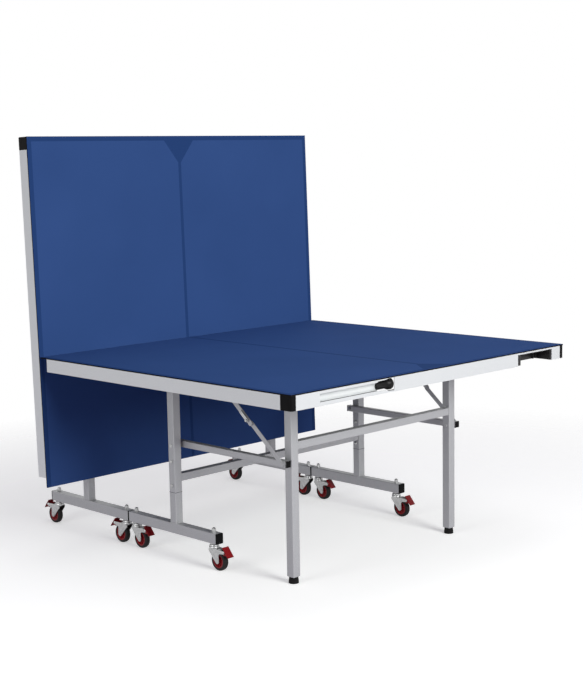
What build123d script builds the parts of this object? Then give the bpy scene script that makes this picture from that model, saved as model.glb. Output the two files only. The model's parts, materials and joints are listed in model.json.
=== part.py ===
from build123d import *
import os
from math import atan2, cos, degrees, hypot, radians, sin

# Roll-away table tennis table, millimetres, +Z up. The near half is open for play and the
# far half stands folded up behind it. Both halves are the same unit, the far one turned round.
# A unit is drawn open, with X = 0 on its fold axis, +X towards the player and Z = 0 on the floor.

# Playing board
BOARD_LENGTH = 1370
BOARD_WIDTH = 1525
BOARD_THICKNESS = 5
SURFACE_HEIGHT = 760
NET_REACH = 490          # fold axis to the net edge
PIVOT_DROP = 31          # playing surface down to the fold axis
FOLD_ANGLE = 88.4        # open to folded up
HALF_GAP = 7             # net edge to the folded half's face
NET_GAP = 4              # between the two net edges when both halves are open

# Apron frame under the board
APRON_HEIGHT = 50
APRON_DEPTH = 25
APRON_WALL = 2
NET_SETBACK = 38         # net edge to the end of the side aprons
CAP_ALONG_SIDE = 50
CAP_ALONG_END = 22
CAP_WALL = 3
CAP_ROUND = 5
STRETCHER_WIDTH = 40
STRETCHER_HEIGHT = 13
STRETCHER_WALL = 1.5
NET_STRETCHER_SETBACK = 60   # net edge to the middle of the first stretcher

# Bat pocket and ball trough in the end apron
POCKET_SETBACK = 76.5    # board's side edge to the pocket
POCKET_WIDTH = 223
POCKET_HEIGHT = 42
POCKET_DEPTH = 70
POCKET_WALL = 3
POCKET_LEFT_JAMB = 20
POCKET_RIGHT_JAMB = 10
POCKET_LIP = 8           # open strip under the back panel
DIVIDER_WIDTH = 4
DIVIDER_DEPTH = 45
DIVIDER_REACHES = (94, 120)  # pocket's inner side to each divider's middle
TROUGH_SETBACK = 134.5   # board's side edge to the trough
TROUGH_LENGTH = 278
TROUGH_RADIUS = 14
TROUGH_WALL = 2
TROUGH_DROP = 28         # playing surface down to the trough's axis
NOZZLE_LENGTH = 91
NOZZLE_NECK_RADIUS = 13.5
NOZZLE_FLARE_RADIUS = 21
NOZZLE_BORE_RADIUS = 8
NOZZLE_FLARE_LENGTH = 28
NOZZLE_RIM = 6
NOZZLE_COLLAR = 4
NOZZLE_WINDOW_CLEARANCE = 1

# Tubes
TUBE_WALL = 2
TUBE_CORNER = 3
POST_SIZE = 35
POST_OFFSET = 10         # fold axis to the post's middle, towards the player
POST_INSET = 243.5       # board's side edge to the post's middle
POST_RISE = 8            # tube above its fold bolt
SEAM_HEIGHT = 260        # upper post seats on the stub
SLEEVE_TOP = 400
SLEEVE_CLEARANCE = 0.25
SLEEVE_BOLT_HEIGHTS = (286, 379)
RAIL_WIDTH = 35
RAIL_HEIGHT = 40
RAIL_CLEARANCE = 100     # floor to the rail
RAIL_MEETING_GAP = 0.3   # between the rail caps of the two halves
RAIL_OUTER = 252         # fold axis to the rail cap at the player's side
CAP_PLATE = 4
CAP_INSERT = 14
CAP_CLEARANCE = 0.25
CROSS_BAR_SIZE = 30
CROSS_BAR_HEIGHT = 315
LEG_SIZE = 35
LEG_REACH = 550          # fold axis to the leg's pivot
LEG_INSET = 318.5
LEG_BAR_SIZE = 30
LEG_BAR_DROP = 228       # leg pivot down to the bar's middle
LEG_SOLE = 4
LINK_SIZE = 25
LINK_WALL = 1.5
LINK_INSET = 284.5
LINK_DROP = 287.5        # fold axis down to the link pivots
LINK_OVERHANG = 17
LINK_INSERT = 7          # plug inside the link bar, clear of its pivot

# Folding brace between top and leg
BRACE_REACH = 312        # leg pivot back to the brace's upper pin
BRACE_DROP = 14          # fold axis down to that pin
LOWER_BAR_WIDTH = 18
LOWER_BAR_THICKNESS = 2.5
UPPER_BAR_WIDTH = 19
UPPER_BAR_THICKNESS = 3
BAR_SPACING = 2.5        # between the two bars' planes
KNEE_BOSS_RADIUS = 7
LATCH_LENGTH = 42
LATCH_WIDTH = 13
LATCH_THICKNESS = 6
LATCH_SETBACK = 58       # knee back to the latch's pin
LATCH_PIN_RADIUS = 3
LATCH_GRIP_RADIUS = 5

# Bolts and brackets
BOLT_RADIUS = 4
BOLT_HEAD_RADIUS = 7
BOLT_HEAD = 4
NUT_HEIGHT = 5
RIVET_HEAD = 1.6
PLATE = 3
PLATE_WIDTH = 36
BRACE_PLATE_WIDTH = 24
RUNNING_CLEARANCE = 0.06
SIDE_CLEARANCE = 0.5
HOLE_CLEARANCE = 0.25

# Levelling feet
FOOT_HEIGHT = 25
FOOT_RADIUS = 19
FOOT_TOP_RADIUS = 16.5
FOOT_ROUND = 2
STUD_LENGTH = 45

# Casters
STEM_INSET = 31          # rail's end to the caster's stem
STEM_RADIUS = 5
STEM_HEAD_RADIUS = 8
STEM_HEAD = 3.2
RACE_RADIUS = 15
RACE_HEIGHT = 2.7
ACORN_RADIUS = 8.5
ACORN_HEX = 9
ACORN_NECK = 6
ACORN_DOME = 7.5
TRAIL = 30
WHEEL_RADIUS = 37.5
WHEEL_WIDTH = 22
HUB_RADIUS = 27
HUB_WIDTH = 20
HUB_DISH = 5
HUB_RIM = 4
HUB_BOSS_RADIUS = 9
TYRE_ROUND = 5
TYRE_FIT = 0.05
AXLE_RADIUS = 4
AXLE_HEAD_RADIUS = 7
AXLE_HEAD = 3
FORK_PLATE = 2.5
FORK_GAP = 26
FORK_CROWN_TOP = 17      # rail's underside down to the crown's top
FORK_CROWN = 3
FORK_NOSE = 16           # crown ahead of the stem
FORK_TAIL = 26           # crown behind the stem
FORK_EYE_RADIUS = 10
FORK_WAIST_REACH = 38    # stem to the cheek's rear edge under its arm
FORK_ARM_DROP = 3        # the arm grows deeper from the pedal's ear to the waist
CUP_RADIUS = 19
CUP_ROUND = 4
CUP_GAP = 0.3
PEDAL_PIN_RADIUS = 3
PEDAL_PIN_REACH = 64
PEDAL_PIN_HEIGHT = 76
PEDAL_EYE_RADIUS = 5
PEDAL_EAR_RADIUS = 6
PEDAL_WIDTH = 23         # between the fork's arms
FLAP_WIDTH = 31          # foot plate in front of the arms
FLAP_THICKNESS = 3
FLAP_TOP_REACH = 61
FLAP_TOP_HEIGHT = 95
PEDAL_TIP_REACH = 90
PEDAL_TIP_HEIGHT = 60
WEB_START = 12           # flap's top edge down to the web behind it
WEB_END = 36
SHOE_REACH = 60.5
SHOE_HEIGHT = 63

# Places worked out from the sizes above
BOARD_UNDER = SURFACE_HEIGHT - BOARD_THICKNESS
APRON_FOOT = BOARD_UNDER - APRON_HEIGHT
STRETCHER_UNDER = BOARD_UNDER - STRETCHER_HEIGHT
NET_END = -NET_REACH
PLAYER_END = BOARD_LENGTH - NET_REACH
HALF_WIDTH = BOARD_WIDTH / 2
POST_Y = HALF_WIDTH - POST_INSET
LEG_Y = HALF_WIDTH - LEG_INSET
LINK_Y = HALF_WIDTH - LINK_INSET
POCKET_HIGH_Y = HALF_WIDTH - POCKET_SETBACK
POCKET_LOW_Y = POCKET_HIGH_Y - POCKET_WIDTH
DIVIDER_YS = [POCKET_LOW_Y + reach for reach in DIVIDER_REACHES]
TROUGH_LOW_Y = TROUGH_SETBACK - HALF_WIDTH
TROUGH_HIGH_Y = TROUGH_LOW_Y + TROUGH_LENGTH
NOZZLE_END_Y = TROUGH_HIGH_Y + NOZZLE_LENGTH
APRON_INSIDE = HALF_WIDTH - APRON_DEPTH
FOLD_PIVOT = (0, SURFACE_HEIGHT - PIVOT_DROP)
LEG_PIVOT = (LEG_REACH, FOLD_PIVOT[1])
LEG_BAR_HEIGHT = LEG_PIVOT[1] - LEG_BAR_DROP
LINK_HEIGHT = FOLD_PIVOT[1] - LINK_DROP
LINK_PIVOT = (POST_OFFSET, LINK_HEIGHT)
LEG_LINK_PIVOT = (LEG_REACH + POST_OFFSET, LINK_HEIGHT)
BRACE_PIVOT = (LEG_REACH - BRACE_REACH, FOLD_PIVOT[1] - BRACE_DROP)
LEG_X = LEG_REACH + POST_OFFSET
HALF_SPACING = NET_REACH + HALF_GAP + PIVOT_DROP
RAIL_INNER = (HALF_SPACING - RAIL_MEETING_GAP) / 2
RAIL_TOP = RAIL_CLEARANCE + RAIL_HEIGHT
POST_INSIDE = POST_Y - POST_SIZE / 2
POST_OUTSIDE = POST_Y + POST_SIZE / 2
LEG_INSIDE = LEG_Y - LEG_SIZE / 2
LEG_OUTSIDE = LEG_Y + LEG_SIZE / 2
LINK_INSIDE = LINK_Y - LINK_SIZE / 2
LINK_OUTSIDE = LINK_Y + LINK_SIZE / 2
LOWER_BAR_IN = LINK_OUTSIDE + SIDE_CLEARANCE
LOWER_BAR_OUT = LOWER_BAR_IN + LOWER_BAR_THICKNESS
UPPER_BAR_IN = LOWER_BAR_OUT + BAR_SPACING
UPPER_BAR_OUT = UPPER_BAR_IN + UPPER_BAR_THICKNESS
STEM_XS = (STEM_INSET - RAIL_INNER, RAIL_OUTER - STEM_INSET)
CROWN_TOP = RAIL_CLEARANCE - FORK_CROWN_TOP
CROWN_UNDER = CROWN_TOP - FORK_CROWN
POCKET_TOP = APRON_FOOT + APRON_WALL + POCKET_HEIGHT
TROUGH_HEIGHT = SURFACE_HEIGHT - TROUGH_DROP
NOZZLE_X = PLAYER_END - NOZZLE_FLARE_RADIUS


def swung(point, centre, angle):
    """Turn a point (x, z) about a centre; a positive angle lifts the player's end."""
    turn = radians(angle)
    dx = point[0] - centre[0]
    dz = point[1] - centre[1]
    return (centre[0] + dx * cos(turn) - dz * sin(turn), centre[1] + dx * sin(turn) + dz * cos(turn))


def heading(start, end):
    """Direction from one point (x, z) to another, in degrees."""
    return degrees(atan2(end[1] - start[1], end[0] - start[0]))


# Brace: straight when open; when folded the lower bar stands upright along the leg
BRACE_LENGTH = hypot(BRACE_PIVOT[0] - LEG_LINK_PIVOT[0], BRACE_PIVOT[1] - LEG_LINK_PIVOT[1])
BRACE_PIVOT_FOLDED = swung(BRACE_PIVOT, LEG_PIVOT, FOLD_ANGLE)
FOLDED_DX = BRACE_PIVOT_FOLDED[0] - LEG_LINK_PIVOT[0]
FOLDED_DZ = BRACE_PIVOT_FOLDED[1] - LEG_LINK_PIVOT[1]
LOWER_BAR_LENGTH = (BRACE_LENGTH**2 - FOLDED_DX**2 - FOLDED_DZ**2) / (2 * (BRACE_LENGTH - FOLDED_DZ))
UPPER_BAR_LENGTH = BRACE_LENGTH - LOWER_BAR_LENGTH
BRACE_HEADING = heading(LEG_LINK_PIVOT, BRACE_PIVOT)
KNEE = swung((LEG_LINK_PIVOT[0] + LOWER_BAR_LENGTH, LEG_LINK_PIVOT[1]), LEG_LINK_PIVOT, BRACE_HEADING)
KNEE_FOLDED = (LEG_LINK_PIVOT[0], LEG_LINK_PIVOT[1] + LOWER_BAR_LENGTH)
LOWER_BAR_TURN = 90 - BRACE_HEADING
UPPER_BAR_TURN = heading(BRACE_PIVOT_FOLDED, KNEE_FOLDED) - FOLD_ANGLE - heading(BRACE_PIVOT, KNEE)

# The two halves stand with the part's middle at X = 0
OPEN_SPACING = 2 * NET_REACH + NET_GAP
ROLL_BACK = OPEN_SPACING - HALF_SPACING
BACK_REACH = STEM_XS[1] + PEDAL_TIP_REACH
NEAR_X = (HALF_SPACING + BACK_REACH - PLAYER_END) / 2
FAR_X = NEAR_X - HALF_SPACING


def block(x, y, z):
    """Box from a (low, high) span on each axis."""
    spans = (x, y, z)
    centre = [(low + high) / 2 for low, high in spans]
    return Pos(*centre) * Box(*[high - low for low, high in spans])


def section(axis, origin):
    """Drawing plane across an axis: width runs along X, or along Y for the X axis."""
    across = (0, 1, 0) if axis == Axis.X else (1, 0, 0)
    return Plane(origin=origin, x_dir=across, z_dir=axis.direction)


def tube(axis, start, length, width, height, wall=TUBE_WALL):
    """Rectangular tube with rounded corners, from the middle of its first end."""
    outside = RectangleRounded(width, height, TUBE_CORNER)
    inside = RectangleRounded(width - 2 * wall, height - 2 * wall, TUBE_CORNER - wall / 2)
    return extrude(section(axis, start) * (outside - inside), amount=length)


def rod(axis, start, length, radius):
    return extrude(section(axis, start) * Circle(radius), amount=length)


def hexagon(axis, start, length, radius):
    return extrude(section(axis, start) * RegularPolygon(radius, 6), amount=length)


def drilled(solid, axis, start, length, radius):
    return solid - rod(axis, start, length, radius)


def across(pivot, y):
    """Point on the crosswise line through a pivot (x, z)."""
    return (pivot[0], y, pivot[1])


def cross_bolt(pivot, tip, seat):
    """Bolt across the table: round head on the outer seat, shank in to its tip."""
    shank = rod(Axis.Y, across(pivot, tip), seat - tip, BOLT_RADIUS)
    head = rod(Axis.Y, across(pivot, seat), BOLT_HEAD, BOLT_HEAD_RADIUS)
    return shank + fillet(head.edges().group_by(Axis.Y)[-1], BOLT_HEAD / 3)


def both_sides(*solids):
    """Solids drawn at +Y, with their mirror images at -Y."""
    return [*solids, *[mirror(solid, about=Plane.XZ) for solid in solids]]


# Trolley
def base_rails():
    rail_start = CAP_PLATE - RAIL_INNER
    rail_length = RAIL_INNER + RAIL_OUTER - 2 * CAP_PLATE
    rail_middle = RAIL_CLEARANCE + RAIL_HEIGHT / 2
    rail = tube(Axis.X, (rail_start, POST_Y, rail_middle), rail_length, RAIL_WIDTH, RAIL_HEIGHT)
    for x in STEM_XS:
        rail = drilled(rail, Axis.Z, (x, POST_Y, RAIL_CLEARANCE), RAIL_HEIGHT, STEM_RADIUS + HOLE_CLEARANCE)
    seat = (POST_OFFSET, POST_Y, RAIL_TOP)
    stub = tube(Axis.Z, seat, SEAM_HEIGHT - RAIL_TOP, POST_SIZE, POST_SIZE)
    sleeve_size = POST_SIZE - 2 * TUBE_WALL - 2 * SLEEVE_CLEARANCE
    sleeve = tube(Axis.Z, seat, SLEEVE_TOP - RAIL_TOP, sleeve_size, sleeve_size)
    for height in SLEEVE_BOLT_HEIGHTS:
        start = (POST_OFFSET, POST_INSIDE, height)
        sleeve = drilled(sleeve, Axis.Y, start, POST_SIZE, BOLT_RADIUS + HOLE_CLEARANCE)
    return both_sides(rail, stub, sleeve)


def posts():
    top = FOLD_PIVOT[1] + POST_RISE
    post = tube(Axis.Z, (POST_OFFSET, POST_Y, SEAM_HEIGHT), top - SEAM_HEIGHT, POST_SIZE, POST_SIZE)
    for height in (*SLEEVE_BOLT_HEIGHTS, LINK_HEIGHT):
        start = (POST_OFFSET, POST_INSIDE, height)
        post = drilled(post, Axis.Y, start, POST_SIZE, BOLT_RADIUS + HOLE_CLEARANCE)
    post = drilled(post, Axis.Y, across(FOLD_PIVOT, POST_INSIDE), POST_SIZE, BOLT_RADIUS + RUNNING_CLEARANCE)
    return both_sides(post)


def cross_bar():
    start = (POST_OFFSET, -POST_INSIDE, CROSS_BAR_HEIGHT)
    return [tube(Axis.Y, start, 2 * POST_INSIDE, CROSS_BAR_SIZE, CROSS_BAR_SIZE)]


def plug(direction, seat, width, height, wall, reach):
    """Black end plug of a lengthwise tube: plate on the tube's end, insert inside it."""
    outline = section(Axis.X, seat) * RectangleRounded(width, height, TUBE_CORNER)
    plate = extrude(outline, amount=direction * CAP_PLATE)
    inner = [size - 2 * wall - 2 * CAP_CLEARANCE for size in (width, height)]
    insert = extrude(section(Axis.X, seat) * RectangleRounded(*inner, TUBE_CORNER), amount=-direction * reach)
    return plate + insert


def rail_caps():
    middle = RAIL_CLEARANCE + RAIL_HEIGHT / 2
    inner = plug(-1, (CAP_PLATE - RAIL_INNER, POST_Y, middle), RAIL_WIDTH, RAIL_HEIGHT, TUBE_WALL, CAP_INSERT)
    outer = plug(1, (RAIL_OUTER - CAP_PLATE, POST_Y, middle), RAIL_WIDTH, RAIL_HEIGHT, TUBE_WALL, CAP_INSERT)
    return both_sides(inner, outer)


def caster_stem(x):
    """Threaded stem through the rail: head under the fork, race under the rail, acorn nut on top."""
    shank = rod(Axis.Z, (x, POST_Y, CROWN_UNDER), RAIL_TOP + ACORN_HEX - CROWN_UNDER, STEM_RADIUS)
    head = rod(Axis.Z, (x, POST_Y, CROWN_UNDER - CUP_GAP), -STEM_HEAD, STEM_HEAD_RADIUS)
    neck = rod(Axis.Z, (x, POST_Y, CROWN_UNDER - CUP_GAP), CUP_GAP, STEM_RADIUS)
    race = rod(Axis.Z, (x, POST_Y, RAIL_CLEARANCE), -RACE_HEIGHT, RACE_RADIUS)
    nut = hexagon(Axis.Z, (x, POST_Y, RAIL_TOP), ACORN_HEX, ACORN_RADIUS)
    collar = rod(Axis.Z, (x, POST_Y, RAIL_TOP + ACORN_HEX), ACORN_NECK, ACORN_DOME)
    dome = Pos(x, POST_Y, RAIL_TOP + ACORN_HEX + ACORN_NECK) * Sphere(ACORN_DOME, arc_size1=0, arc_size2=90)
    return shank + head + neck + race + nut + collar + dome


def trolley_bolts():
    bolts = [caster_stem(x) for x in STEM_XS]
    for height in SLEEVE_BOLT_HEIGHTS:
        bolts.append(cross_bolt((POST_OFFSET, height), POST_INSIDE + TUBE_WALL, POST_OUTSIDE))
    link_bolt = cross_bolt(LINK_PIVOT, LINK_INSIDE, POST_OUTSIDE)
    spacer = rod(Axis.Y, across(LINK_PIVOT, LINK_OUTSIDE + SIDE_CLEARANCE),
                 POST_INSIDE - LINK_OUTSIDE - SIDE_CLEARANCE, BOLT_HEAD_RADIUS)
    nut = hexagon(Axis.Y, across(LINK_PIVOT, LINK_INSIDE - SIDE_CLEARANCE), -NUT_HEIGHT, BOLT_HEAD_RADIUS)
    nut_neck = rod(Axis.Y, across(LINK_PIVOT, LINK_INSIDE), -SIDE_CLEARANCE, BOLT_RADIUS)
    bolts.append(link_bolt + spacer + nut_neck + nut)
    return both_sides(*bolts)


# Table top
def table_board():
    return [block((NET_END, PLAYER_END), (-HALF_WIDTH, HALF_WIDTH), (BOARD_UNDER, SURFACE_HEIGHT))]


def side_apron():
    x = (NET_END + NET_SETBACK, PLAYER_END - CAP_ALONG_SIDE)
    outside = block(x, (APRON_INSIDE, HALF_WIDTH), (APRON_FOOT, BOARD_UNDER))
    hollow = block(x, (APRON_INSIDE, HALF_WIDTH - APRON_WALL),
                   (APRON_FOOT + APRON_WALL, BOARD_UNDER - APRON_WALL))
    return outside - hollow


def end_apron():
    y = (CAP_ALONG_END - HALF_WIDTH, HALF_WIDTH - CAP_ALONG_END)
    x = (PLAYER_END - APRON_DEPTH, PLAYER_END)
    web = (PLAYER_END - APRON_DEPTH, PLAYER_END - APRON_WALL)
    apron = block(x, y, (APRON_FOOT, BOARD_UNDER))
    apron -= block(web, y, (APRON_FOOT + APRON_WALL, BOARD_UNDER - APRON_WALL))
    apron -= block(x, (POCKET_LOW_Y, POCKET_HIGH_Y), (APRON_FOOT, POCKET_TOP))
    window = TROUGH_RADIUS
    apron -= block(x, (TROUGH_LOW_Y, TROUGH_HIGH_Y), (TROUGH_HEIGHT - window, TROUGH_HEIGHT + window))
    flare = NOZZLE_FLARE_RADIUS + NOZZLE_WINDOW_CLEARANCE
    apron -= block(x, (TROUGH_HIGH_Y, NOZZLE_END_Y + NOZZLE_WINDOW_CLEARANCE),
                   (TROUGH_HEIGHT - flare, TROUGH_HEIGHT + flare))
    return apron


def apron_frame():
    return [end_apron(), *both_sides(side_apron())]


def corner_caps():
    x = (PLAYER_END - CAP_ALONG_SIDE, PLAYER_END)
    y = (HALF_WIDTH - CAP_ALONG_END, HALF_WIDTH)
    cap = block(x, y, (APRON_FOOT, BOARD_UNDER))
    corner = cap.edges().filter_by(Axis.Z).sort_by(Axis((0, 0, 0), (1, 1, 0)))[-1]
    cap = fillet(corner, CAP_ROUND)
    inside = block((x[0] + CAP_WALL, x[1] - CAP_WALL), (y[0] + CAP_WALL, y[1] - CAP_WALL),
                   (APRON_FOOT, BOARD_UNDER - CAP_WALL))
    return both_sides(cap - inside)


def plate(pivot, inner_y, outer_y, width, hole):
    """Hanging bracket plate under a stretcher, rounded at its pivot."""
    half = width / 2
    upright = block((pivot[0] - half, pivot[0] + half), (inner_y, outer_y), (pivot[1], STRETCHER_UNDER))
    tip = rod(Axis.Y, across(pivot, inner_y), outer_y - inner_y, half)
    return drilled(upright + tip, Axis.Y, across(pivot, inner_y), outer_y - inner_y, hole)


def clevis(pivot, inside, outside):
    """Two bracket plates with their bolt and nut, either side of a tube."""
    hole = BOLT_RADIUS + RUNNING_CLEARANCE
    inner = plate(pivot, inside - SIDE_CLEARANCE - PLATE, inside - SIDE_CLEARANCE, PLATE_WIDTH, hole)
    outer = plate(pivot, outside + SIDE_CLEARANCE, outside + SIDE_CLEARANCE + PLATE, PLATE_WIDTH, hole)
    nut_seat = inside - SIDE_CLEARANCE - PLATE
    bolt = cross_bolt(pivot, nut_seat, outside + SIDE_CLEARANCE + PLATE)
    nut = hexagon(Axis.Y, across(pivot, nut_seat), -NUT_HEIGHT, BOLT_HEAD_RADIUS)
    return [inner, outer, bolt + nut]


def underframe():
    pieces = []
    for x in (NET_END + NET_STRETCHER_SETBACK, FOLD_PIVOT[0], BRACE_PIVOT[0], LEG_PIVOT[0]):
        start = (x, -APRON_INSIDE, BOARD_UNDER - STRETCHER_HEIGHT / 2)
        length = 2 * APRON_INSIDE
        pieces.append(tube(Axis.Y, start, length, STRETCHER_WIDTH, STRETCHER_HEIGHT, STRETCHER_WALL))
    hole = BOLT_RADIUS + RUNNING_CLEARANCE
    brace_plate = plate(BRACE_PIVOT, UPPER_BAR_OUT + SIDE_CLEARANCE, UPPER_BAR_OUT + SIDE_CLEARANCE + PLATE,
                        BRACE_PLATE_WIDTH, hole)
    brace_bolt = cross_bolt(BRACE_PIVOT, UPPER_BAR_IN, UPPER_BAR_OUT + SIDE_CLEARANCE + PLATE)
    pieces += both_sides(brace_plate, brace_bolt)
    pieces += both_sides(*clevis(FOLD_PIVOT, POST_INSIDE, POST_OUTSIDE))
    pieces += both_sides(*clevis(LEG_PIVOT, LEG_INSIDE, LEG_OUTSIDE))
    return pieces


def bat_pocket():
    """Black pocket liner: two jambs, a roof and a short back panel with two dividers."""
    foot = APRON_FOOT + APRON_WALL
    front = PLAYER_END - APRON_WALL
    x = (PLAYER_END - POCKET_DEPTH, front)
    left = (POCKET_LOW_Y, POCKET_LOW_Y + POCKET_LEFT_JAMB)
    right = (POCKET_HIGH_Y - POCKET_RIGHT_JAMB, POCKET_HIGH_Y)
    liner = block(x, left, (foot, POCKET_TOP)) + block(x, right, (foot, POCKET_TOP))
    liner += block(x, (POCKET_LOW_Y, POCKET_HIGH_Y), (POCKET_TOP - POCKET_WALL, POCKET_TOP))
    liner += block((x[0], x[0] + POCKET_WALL), (POCKET_LOW_Y, POCKET_HIGH_Y), (foot + POCKET_LIP, POCKET_TOP))
    for y in DIVIDER_YS:
        divider = (y - DIVIDER_WIDTH / 2, y + DIVIDER_WIDTH / 2)
        liner += block((x[0], x[0] + DIVIDER_DEPTH), divider, (foot + POCKET_LIP, POCKET_TOP))
    return [liner]


def ball_trough():
    """Half-round trough behind the end apron, with a black flared mouth at one end."""
    axis_x = PLAYER_END - APRON_WALL
    outer = TROUGH_RADIUS + TROUGH_WALL
    start = (axis_x, TROUGH_LOW_Y - TROUGH_WALL, TROUGH_HEIGHT)
    length = TROUGH_HIGH_Y - TROUGH_LOW_Y + TROUGH_WALL
    trough = rod(Axis.Y, start, length, outer)
    trough -= rod(Axis.Y, (axis_x, TROUGH_LOW_Y, TROUGH_HEIGHT), TROUGH_HIGH_Y - TROUGH_LOW_Y, TROUGH_RADIUS)
    trough -= block((axis_x, axis_x + outer), (start[1], start[1] + length),
                    (TROUGH_HEIGHT - outer, TROUGH_HEIGHT + outer))
    neck_start = TROUGH_HIGH_Y + NOZZLE_COLLAR
    rim_start = NOZZLE_END_Y - NOZZLE_RIM
    flare_start = rim_start - NOZZLE_FLARE_LENGTH
    with BuildSketch(Plane.XY) as half_section:
        with BuildLine():
            Polyline((NOZZLE_BORE_RADIUS, TROUGH_HIGH_Y), (outer, TROUGH_HIGH_Y),
                     (outer, neck_start), (NOZZLE_NECK_RADIUS, neck_start), (NOZZLE_NECK_RADIUS, flare_start))
            TangentArc((NOZZLE_NECK_RADIUS, flare_start), (NOZZLE_FLARE_RADIUS, rim_start), tangent=(0, 1))
            Polyline((NOZZLE_FLARE_RADIUS, rim_start), (NOZZLE_FLARE_RADIUS, NOZZLE_END_Y),
                     (NOZZLE_BORE_RADIUS, NOZZLE_END_Y), (NOZZLE_BORE_RADIUS, TROUGH_HIGH_Y))
        make_face()
    nozzle = Pos(NOZZLE_X, 0, TROUGH_HEIGHT) * revolve(half_section.sketch, Axis.Y)
    return [trough, nozzle]


# Legs, links and braces
def leg_frame():
    top = LEG_PIVOT[1] + POST_RISE
    start = FOOT_HEIGHT + LEG_SOLE
    leg = tube(Axis.Z, (LEG_X, LEG_Y, start), top - start, LEG_SIZE, LEG_SIZE)
    leg = drilled(leg, Axis.Y, across(LEG_PIVOT, LEG_INSIDE), LEG_SIZE, BOLT_RADIUS + RUNNING_CLEARANCE)
    leg = drilled(leg, Axis.Y, across(LEG_LINK_PIVOT, LEG_INSIDE), LEG_SIZE, BOLT_RADIUS + HOLE_CLEARANCE)
    sole = block((LEG_X - LEG_SIZE / 2, LEG_X + LEG_SIZE / 2), (LEG_INSIDE, LEG_OUTSIDE),
                 (FOOT_HEIGHT, start))
    sole = fillet(sole.edges().filter_by(Axis.Z), TUBE_CORNER)
    sole = drilled(sole, Axis.Z, (LEG_X, LEG_Y, FOOT_HEIGHT), LEG_SOLE, BOLT_RADIUS + RUNNING_CLEARANCE)
    bar = tube(Axis.Y, (LEG_X, -LEG_INSIDE, LEG_BAR_HEIGHT), 2 * LEG_INSIDE, LEG_BAR_SIZE, LEG_BAR_SIZE)
    spacer_end = LINK_INSIDE - SIDE_CLEARANCE
    rivet_seat = LOWER_BAR_OUT + SIDE_CLEARANCE
    pin = rod(Axis.Y, across(LEG_LINK_PIVOT, LEG_INSIDE), rivet_seat - LEG_INSIDE, BOLT_RADIUS)
    pin += rod(Axis.Y, across(LEG_LINK_PIVOT, LEG_INSIDE), -BOLT_HEAD, BOLT_HEAD_RADIUS)
    pin += rod(Axis.Y, across(LEG_LINK_PIVOT, LEG_OUTSIDE), spacer_end - LEG_OUTSIDE, BOLT_HEAD_RADIUS)
    pin += rod(Axis.Y, across(LEG_LINK_PIVOT, rivet_seat), RIVET_HEAD, BOLT_HEAD_RADIUS)
    return [bar, *both_sides(leg, sole, pin)]


def foot():
    body = extrude(section(Axis.Z, (LEG_X, LEG_Y, 0)) * Circle(FOOT_RADIUS), amount=FOOT_HEIGHT / 2)
    cone = loft([section(Axis.Z, (LEG_X, LEG_Y, FOOT_HEIGHT / 2)) * Circle(FOOT_RADIUS),
                 section(Axis.Z, (LEG_X, LEG_Y, FOOT_HEIGHT)) * Circle(FOOT_TOP_RADIUS)])
    base = fillet((body + cone).edges().group_by(Axis.Z)[0], FOOT_ROUND)
    return base + rod(Axis.Z, (LEG_X, LEG_Y, FOOT_HEIGHT), STUD_LENGTH, BOLT_RADIUS)


def link_bars():
    start = LINK_PIVOT[0] - LINK_OVERHANG + CAP_PLATE
    end = LEG_LINK_PIVOT[0] + LINK_OVERHANG - CAP_PLATE
    bar = tube(Axis.X, (start, LINK_Y, LINK_HEIGHT), end - start, LINK_SIZE, LINK_SIZE, LINK_WALL)
    for pivot in (LINK_PIVOT, LEG_LINK_PIVOT):
        bar = drilled(bar, Axis.Y, across(pivot, LINK_INSIDE), LINK_SIZE, BOLT_RADIUS + RUNNING_CLEARANCE)
    caps = [plug(-1, (start, LINK_Y, LINK_HEIGHT), LINK_SIZE, LINK_SIZE, LINK_WALL, LINK_INSERT),
            plug(1, (end, LINK_Y, LINK_HEIGHT), LINK_SIZE, LINK_SIZE, LINK_WALL, LINK_INSERT)]
    return both_sides(bar, *caps)


def flat_bar(start, length, angle, inner_y, thickness, width, hole):
    """Flat bar with round ends, drilled at its start, laid along a heading."""
    profile = Pos(length / 2, 0) * SlotCenterToCenter(length, width) - Circle(hole)
    plane = Plane(origin=across(start, inner_y + thickness), x_dir=(1, 0, 0), z_dir=(0, -1, 0))
    return extrude(plane * Rot(0, 0, angle) * profile, amount=thickness)


def brace_upper():
    hole = BOLT_RADIUS + RUNNING_CLEARANCE
    bar = flat_bar(BRACE_PIVOT, UPPER_BAR_LENGTH, heading(BRACE_PIVOT, KNEE), UPPER_BAR_IN,
                   UPPER_BAR_THICKNESS, UPPER_BAR_WIDTH, hole)
    bar += rod(Axis.Y, across(KNEE, UPPER_BAR_IN), SIDE_CLEARANCE - BAR_SPACING, KNEE_BOSS_RADIUS)
    bar += rod(Axis.Y, across(LATCH_PIVOT, UPPER_BAR_OUT), LATCH_THICKNESS, LATCH_PIN_RADIUS)
    return both_sides(bar)


def brace_lower():
    hole = BOLT_RADIUS + RUNNING_CLEARANCE
    bar = flat_bar(LEG_LINK_PIVOT, LOWER_BAR_LENGTH, BRACE_HEADING, LOWER_BAR_IN, LOWER_BAR_THICKNESS,
                   LOWER_BAR_WIDTH, hole)
    return both_sides(bar)


LATCH_PIVOT = swung((KNEE[0] + LATCH_SETBACK, KNEE[1]), KNEE, BRACE_HEADING)


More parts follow.
